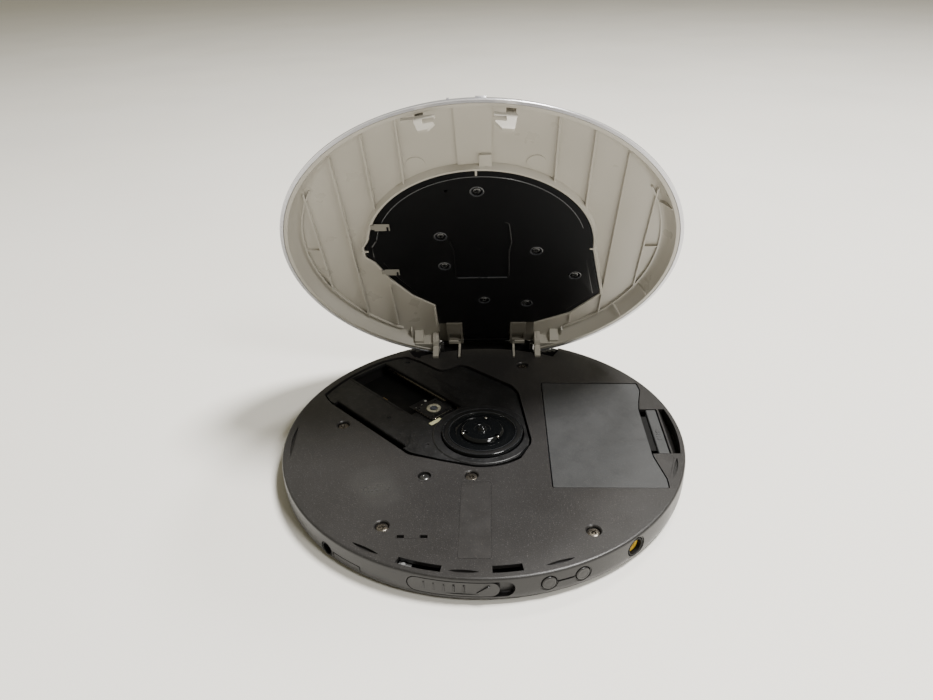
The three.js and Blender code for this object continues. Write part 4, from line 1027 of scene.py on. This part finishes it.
piece("open_slider_button", open_slider(), "slider", CONTROL, "open_slider", bevel=0.08)
for name, az in VOLUME_KEYS.items():
    cap = lathe([
        (0, 62.6), (2.5, 62.6), (2.5, 63.6), (2.08, 63.6), (2.08, 65.75), (1.95, 66.0), (1.6, 66.15),
        (1.45, 66.1), (0.8, 66.2), (0, 66.25),
    ], 64)
    cap.transform(
        Matrix.Translation((0, 0, KEY_Z)) @ Matrix.Rotation(math.radians(az), 4, "Z")
        @ Matrix.Rotation(math.radians(90), 4, "X")
    )
    piece(f"{name}_button", cap, name, CONTROL, f"{name}_key", bevel=0)


# ---- the lid, drawn shut ----
def plate_outline(s):
    """The black plate. A positive spread s draws the lip round it."""
    return [
        *arc(37.5 + s, -80, 90, 3), (42.8 + s, 25.6), (32.9 + s * 0.6, 38 + s * 0.7), (19.4, 45 + s),
        (10.3 + s, 45 + s), (10.3 + s, 56.2 + s), (-7.9 - s, 56.2 + s), (-7.9 - s, 45 + s),
        (-17.3 - s, 45.4 + s),
        (-17.5 - s, 32.4), (-25.4 - s * 0.6, 25.8 + s * 0.6), (-32.2 - s * 0.8, 15.6 + s * 0.5),
        (-36.4 - s, 6.2), (-39.2 - s, 3.2), (-39.2 - s, -2.2), (-37.8 - s, -4.6),
    ]


def rib(x, y0, y1):
    """A drafted rib on the lid's ceiling, parallel to Y."""
    sections = []
    for half, slope, z in ((0.22, 0.6, CEILING - 1.05), (0.5, 0.0, CEILING + 0.1)):
        near, far = y0 + slope, y1 - slope
        sections.append([(x - half, near, z), (x + half, near, z), (x + half, far, z), (x - half, far, z)])
    return lofted(sections)


def hook(side):
    """The hooks face each other. Drawn as (sideways, z) about each one's own azimuth, with a neck behind."""
    if side > 0:
        outline = [
            (-3.2, 9.1), (-3.2, 7.7), (0.25, 7.7), (0.25, 5.9), (-2.75, 5.9), (-2.8, 5.4), (-1.0, 3.1),
            (2.3, 3.1), (3.2, 8.7), (2.9, 9.1),
        ]
        neck = [(0.25, 9.0), (2.9, 9.0), (2.9, 13.2), (0.25, 13.2)]
        return join(sideways(softened(outline, 0.3), 7.1, 61.5, 62.4), sideways(neck, 7.1, 61.5, 62.0))
    outline = [
        (-5.2, 9.9), (-5.2, 8.85), (-1.4, 8.4), (-1.4, 7.2), (-0.1, 3.6), (2.6, 3.5), (4.35, 5.3),
        (4.2, 5.75), (1.0, 5.9), (0.8, 7.7), (4.4, 7.6), (4.4, 8.6),
    ]
    neck = [(-1.4, 8.5), (1.0, 8.5), (1.0, 13.2), (-1.4, 13.2)]
    return join(sideways(softened(outline, 0.3), -14.2, 62.2, 63.1), sideways(neck, -14.2, 62.2, 62.6))


def gusset(azimuth):
    """A thin triangular web between the lid's ceiling and its rim wall."""
    outline = [(59.6, 14.5), (62.6, 14.5), (63.5, 10.1), (62.9, 10.0)]
    a = math.radians(azimuth)
    along = Vector((math.cos(a), math.sin(a), 0))
    sections = []
    for w in (-0.3, 0.3):
        sections.append([Vector((*polar(r, azimuth), z)) + along * w for r, z in outline])
    return lofted(sections)


FRAME_OUTSIDE = [
    (64.45, RIM), (64.6, 9.72), (64.7, 9.85), (64.7, 9.95), (64.1, 10.9), (63.3, 12.1), (62.0, 13.75),
    (60.9, FRAME_TOP), (0, FRAME_TOP),
]


def envelope():
    """Everything inside the frame's outer face."""
    return lathe([(0, 0), (64.7, 0), *FRAME_OUTSIDE[3:]], SIDES)


def hinge_fittings(side):
    """A cross wall down to the rim, a sloping boss with a fin, the arm on the pin, and a stop leg."""
    wall = hinge_box(side, (19.0, 28.4), 56.3, 62, 10.0, CEILING + 0.1)
    boss = hinge_plate(side, (25.0, 28.4), [(52.6, 14.5), (55.0, 10.6), (56.5, 10.6), (56.5, 14.5)])
    fin = hinge_plate(side, (29.2, 29.7), [(50.4, 14.5), (50.9, 12.6), (57.4, 12.2), (57.4, 14.5)])
    arm = hinge_plate(side, (19.0, 21.2), [
        (54.4, 14.6), (61.5, 14.6), (61.5, 10.2), (61.1, 9.2), (60.0, 8), (58.9, 4.5), (57.6, 4.2),
        (56.6, 4.5), (56.9, 8.6), (57.2, 9.6), (55.4, 10.0), (54.7, 10.6),
    ])
    ridge = hinge_plate(side, (19.85, 20.35), [(54.1, 14.5), (54.4, 10.9), (54.8, 10.9), (54.8, 14.5)])
    leg = hinge_plate(side, (10.4, 11.2), [
        (58.0, 12.4), (61.2, 12.4), (61.2, 10.0), (60.0, 6.5), (58.9, 4.5), (57.0, 4.5),
        (58.3, 8.0), (59.6, 9.6), (59.6, 11.9), (58.0, 11.9),
    ])
    return [wall, boss, fin, arm, ridge, leg]


def hinge_bracket(side):
    """A box beside the plate's tail, open towards the deck; its darker finish is partly its own colour and
    partly painted shade.
    """
    body = join(
        hinge_box(side, (9.3, 15.3), 44.6, 59.5, 12.0, FRAME_TOP),
        hinge_box(side, (15.2, 18.5), 46.2, 59.5, 13.4, FRAME_TOP),
    )
    body = cut(body, hinge_box(side, (10.1, 14.7), 52.2, 56.4, 10, 13.4))
    return cut(inside(body, envelope()), hinge_bore(side, 8, 22.2))


def lid_frame():
    ring = lathe([
        (0, CEILING), (59.4, CEILING), (60.2, 14.34), (60.8, 14.15), (61.3, 13.75), (61.8, 13.1),
        (62.3, 12.3), (63.35, 9.95), (63.45, 9.76), (63.65, RIM), *FRAME_OUTSIDE,
    ], SIDES)
    lip = layers((plate_outline(0.7), 12.0), (plate_outline(1.3), FRAME_TOP - 0.1))
    parts = [ring, lip]
    for side in (-1, 1):
        parts += [rib(side * 22.8, -56.9, -29), rib(side * 33.3, -51.4, -17)]
        parts += [rib(side * 43.8, -42.8, 42.0), rib(side * 54.5, -27.6, 25)]
        az0, az1 = sorted((62 * side, 148 * side))
        parts.append(sector(59.1, 59.6, az0, az1, CEILING - 0.85, CEILING + 0.1))
        x0, x1 = sorted((54.5 * side, 59.3 * side))
        parts.append(box(x0, x1, 0.75, 1.2, CEILING - 0.8, CEILING + 0.1))
        parts.append(disc(17 if side > 0 else -18.6, -38.4, 2.8, CEILING - 0.22, CEILING + 0.1, 48))
    parts += [rib(-33.3, 22, 47.5), rib(33.3, 40.5, 47.5)]
    parts.append(prism([(-6.6, -60.5), (4.2, -60.5), (3.8, -37), (-6.1, -37)], CEILING - 0.55, CEILING + 0.1))
    parts.append(slab(2.05, -40.4, 3.7, 4.8, 0.25, CEILING - 1.45, CEILING + 0.1))
    parts += [hook(1), hook(-1), gusset(112), gusset(126), gusset(70)]
    body = inside(join(parts[0], *parts[1:]), envelope())
    body = cut(
        body,
        prism(plate_outline(0), 5, 20),
        box(HINGE_X - 18.8, HINGE_X + 18.8, 60, 70, 5, 20),
        box(HINGE_X - 9.3, HINGE_X + 9.3, 44.5, 61, 5, CEILING),
    )
    # light ticks over the plate's edge
    body = join(
        body,
        box(-1.1, -0.5, -38.2, -35.4, 12.0, 12.35),
        box(36.4, 38.3, -0.3, 0.3, 12.0, 12.35),
        box(-40.2, -37.9, -0.3, 0.3, 12.0, 12.35),
    )
    for side in (-1, 1):
        body = cut(
            body,
            hinge_box(side, (16.6, 18.8), 56.3, 62, 5, 13.4),
            hinge_box(side, (9.35, 18.6), 44.5, 61, 5, 14.2),
        )
        fittings = hinge_fittings(side)
        body = join(body, inside(join(fittings[0], *fittings[1:]), envelope()))
        body = cut(body, hinge_bore(side, 18, 22.2))
    return body


lid_piece("lid_inner_frame", lid_frame(), INNER, "lid_frame", bevel=0.1)
for side, name in ((-1, "left"), (1, "right")):
    body = hinge_bracket(side)
    lid_piece(f"hinge_bracket_{name}", body, BRACKET_TONE_AND_SHADE, bevel=0.1)
    lip = hinge_box(side, (11.2, 15.0), 56.9, 59.0, 11.6, 12.0)
    lid_piece(f"hinge_bracket_lip_{name}", lip, INNER, bevel=0.1)


def lid_cover():
    profile = [
        (0, 15.3), (60.6, 15.3), (61.2, 15.0), (62.4, 13.8), (63.65, 12.2), (64.78, 10.3), (64.78, 9.95),
        (64.85, RIM), (65.8, RIM), (65.95, 9.75), (RADIUS, 9.95), (65.9, 10.25), (65.4, 10.95), (64.3, 12.3),
        (63.05, 13.9), (62.3, 14.75), (61.5, 15.35), (60.4, 15.85), (58.8, 16.15), (56, 16.32), (48, 16.42),
        (30, 16.48), (0, 16.5),
    ]
    body = lathe(profile, SIDES)
    holes = [rounded(cx, cy, w + 0.6, h + 0.6, r + 0.3) for _, (cx, cy, w, h, r) in KEYS]
    bumps = [sector(64.9, 65.8, -6.9, -6.3, 10.6, 11.2), sector(64.9, 65.8, -0.3, 2.2, 10.6, 11.2)]
    body = cut(
        body,
        box(HINGE_X - 18.8, HINGE_X + 18.8, 60, 70, 9, 20),
        slab(0, -17, 32.6, 12.6, 3.3, 14, 20),
        # a fine circle turned into the face
        lathe([(52.0, 16.3), (52.3, 16.3), (52.3, 20), (52.0, 20)], SIDES),
        *[prism(hole, 14, 20) for hole in holes],
    )
    return join(body, *bumps)


KEYS = [
    ("play", (0, 9, 13, 13, 6.4)), ("stop", (0, 22.5, 10, 7, 3)),
    ("skip_back", (-15.5, 9, 10, 9, 3)), ("skip_forward", (15.5, 9, 10, 9, 3)),
]
lid_piece("lid_outer_cover", lid_cover(), SILVER, "lid_cover", bevel=0.1)


def key_symbol(name, cx, cy):
    """Plain transport symbols, cut into the key tops."""
    tri = [(-1.6, -1.8), (1.8, 0), (-1.6, 1.8)]
    if name == "play":
        shapes = [tri]
    elif name == "stop":
        shapes = [[(-1.4, -1.4), (1.4, -1.4), (1.4, 1.4), (-1.4, 1.4)]]
    else:
        way = 1 if name == "skip_forward" else -1
        small = [(way * x * 0.6, y * 0.7) for x, y in tri]
        shapes = [[(x - way * 1.1, y) for x, y in small], [(x + way * 1.1, y) for x, y in small]]
        shapes.append([(way * 2.4, -1.3), (way * 2.8, -1.3), (way * 2.8, 1.3), (way * 2.4, 1.3)])
    return [prism([(cx + x, cy + y) for x, y in shape], 16.75, 18) for shape in shapes]


for name, (cx, cy, w, h, r) in KEYS:
    insets = ((0, 14.7), (0, 16.6), (0.5, 16.85), (1.4, 16.93))
    cap = layers(*[(rounded(cx, cy, w - inset, h - inset, r - inset / 2), z) for inset, z in insets])
    flange = prism(rounded(cx, cy, w + 2, h + 2, r + (1 if name == "play" else 0)), 14.7, 15.0)
    cap = cut(join(cap, flange), *key_symbol(name, cx, cy))
    lid_piece(f"{name}_button_cap", cap, SILVER, f"{name}_key", 0.04, f"{name}_button")
pane = join(
    slab(0, -17, 32, 12, 3, 15.4, 16.3),
    slab(0, -17, 31.6, 11.6, 2.8, 16.2, 16.45),
)
lid_piece("display_pane", pane, WINDOW, "display_window", bevel=0.05)


PLATE_SCREWS = [
    (-0.7, -28.5), (-13.1, -7.4), (-12.7, 8.5), (18.6, 0.7), (32.7, 14.7), (0.7, 29.2), (16.3, 31.5),
]
# the hollow pressed into the plate's middle
HOLLOW = [
    (-9.4, -14), (-10.2, -4), (-9.0, 0.5), (-9.0, 15.5), (9.5, 15.5), (9.5, 0.5), (10.2, -4), (9.2, -14),
]


def lid_plate():
    plate = prism(softened(plate_outline(-0.35), 0.8), PLATE_LOW, 13.3)
    step = layers((plate_outline(-2.9), PLATE_LOW - 0.25), (plate_outline(-2.4), PLATE_LOW + 0.1))
    cone = [(0, 10), (2.0, 10), (1.75, PLATE_LOW + 0.3), (0, PLATE_LOW + 0.3)]
    recesses = [moved(lathe(cone, 40), x, y) for x, y in PLATE_SCREWS]
    hollow = prism(softened(HOLLOW, 1), 10, PLATE_LOW + 0.15)
    holes = [disc(-10.2, -29, 0.6, 10, 13, 20), disc(0, 0, 0.5, 10, 12.7, 20)]
    return cut(join(plate, step), hollow, *recesses, *holes)


lid_piece("lid_black_plate", lid_plate(), PLATE, "lid_plate", bevel=0.12)
for i, (x, y) in enumerate(PLATE_SCREWS):
    body = cross_screw(1.15, 0.0, 0.45, -0.3, 0.5, 15 + 31 * i)
    body.transform(Matrix.Translation((x, y, PLATE_LOW + 0.32)) @ Matrix.Rotation(math.pi, 4, "X"))
    lid_piece(f"plate_screw_{i + 1}", body, RIVET, bevel=0)
    # a ring in a lighter black round each screw's recess: a painted highlight on its edge
    ring = lathe([(1.75, 12.08), (2.05, 12.02), (2.2, 12.12), (2.2, 12.3), (1.75, 12.3)], 48)
    lid_piece(f"plate_screw_ring_{i + 1}", moved(ring, x, y), EDGE_HIGHLIGHT, bevel=0)
# a bead round the hollow, open at its front
bead = wire([(*p, PLATE_LOW - 0.18) for p in softened(HOLLOW, 1.2)[4:]], 0.2)
lid_piece("plate_bead", bead, PLATE, bevel=0)
# the bead's foot in a lighter black: a painted highlight along its lower edge
foot = box(-8.4, 9.0, 15.05, 15.45, PLATE_LOW - 0.45, PLATE_LOW)
lid_piece("plate_bead_foot", foot, EDGE_HIGHLIGHT, bevel=0.1)
# painted highlight: a wire in a lighter black along most of the step's front arc, where its edge catches the
# light
LIT_POINTS = 52
edge = wire([(x, y, PLATE_LOW - 0.14) for x, y in plate_outline(-2.65)[:LIT_POINTS]], 0.16)
lid_piece("plate_step_edge", edge, EDGE_HIGHLIGHT, bevel=0)


# a cross bar of the frame behind the plate's tail, in the plate's black as painted shade
bar = box(HINGE_X - 9.2, HINGE_X + 9.2, 56.6, 57.9, 12.2, CEILING + 0.3)
lid_piece("frame_bar_painted_shade", bar, PLATE, bevel=0.15)


def clip(x0, x1, y0, y1):
    """A small bent spring clip that holds the plate's edge."""
    leaf = box(x0, x1, y0, y1, 11.55, 11.8)
    tab = box(x0 - 1.2, x0 + 0.4, y0 + 0.6, y1 - 0.6, 11.55, 12.1)
    window = box(x1 - 1.1, x1 - 0.4, (y0 + y1) / 2 - 0.3, y1 + 1, 11, 13)
    return cut(join(leaf, tab), window)


for name, place in (("front", (-34.2, -29.2, -14.6, -11.4)), ("rear", (-33.6, -28.6, 9.4, 12.6))):
    lid_piece(f"plate_clip_{name}", clip(*place), CLIP, bevel=0.08)


# ---- floor, light and camera ----
def stage():
    floor = bpy.data.meshes.new("floor")
    reach = 9.0
    corners = [(x * reach, y * reach, 0) for x, y in ((-1, -1), (1, -1), (1, 1), (-1, 1))]
    floor.from_pydata(corners, [], [(0, 1, 2, 3)])
    made = placed("floor", floor)
    finish = look("pale_floor", (0.92, 0.895, 0.84), rough=0.6, mottle=0.012, mottle_scale=3, grain=0.02)
    floor.materials.append(finish)


def area_light(name, place, aim, size, power, colour):
    lamp = bpy.data.lights.new(name, "AREA")
    lamp.shape = "DISK"
    lamp.size = size
    lamp.energy = power
    lamp.color = colour
    made = placed(name, lamp)
    made.location = place
    made.rotation_euler = (Vector(aim) - Vector(place)).to_track_quat("-Z", "Y").to_euler()


def lights():
    area_light("key", (0.62, -0.74, 0.92), (0, 0, 0.03), 0.28, 8.0, (1.0, 0.99, 0.97))
    area_light("overhead", (0.45, -0.02, 1.12), (0, 0, 0.03), 0.30, 28.5, (1.0, 0.985, 0.96))
    area_light("rear", (0.42, 0.70, 1.25), (0, 0, 0.0), 0.25, 7.0, (1.0, 0.985, 0.95))
    world = bpy.data.worlds.new("soft_room")
    world.use_nodes = True
    sky = world.node_tree.nodes["Background"]
    sky.inputs["Color"].default_value = (0.88, 0.82, 0.60, 1)
    sky.inputs["Strength"].default_value = 0.26
    SCENE.world = world


def camera():
    yaw, pitch, roll = (math.radians(a) for a in (-2.295, 28.935, -1.601))
    forward = Vector((math.sin(yaw) * math.cos(pitch), math.cos(yaw) * math.cos(pitch), -math.sin(pitch)))
    level = Vector((math.cos(yaw), -math.sin(yaw), 0))
    above = level.cross(forward)
    right = math.cos(roll) * level + math.sin(roll) * above
    up = -math.sin(roll) * level + math.cos(roll) * above
    lens = bpy.data.cameras.new("camera")
    lens.sensor_fit = "HORIZONTAL"
    lens.sensor_width = 36.0
    lens.lens = 29.584
    lens.clip_start = 0.01
    made = placed("camera", lens)
    turned = Matrix((right, up, -forward)).transposed().to_4x4()
    made.matrix_world = Matrix.Translation((0.003907, -0.211483, 0.158051)) @ turned
    SCENE.camera = made


stage()
lights()
camera()
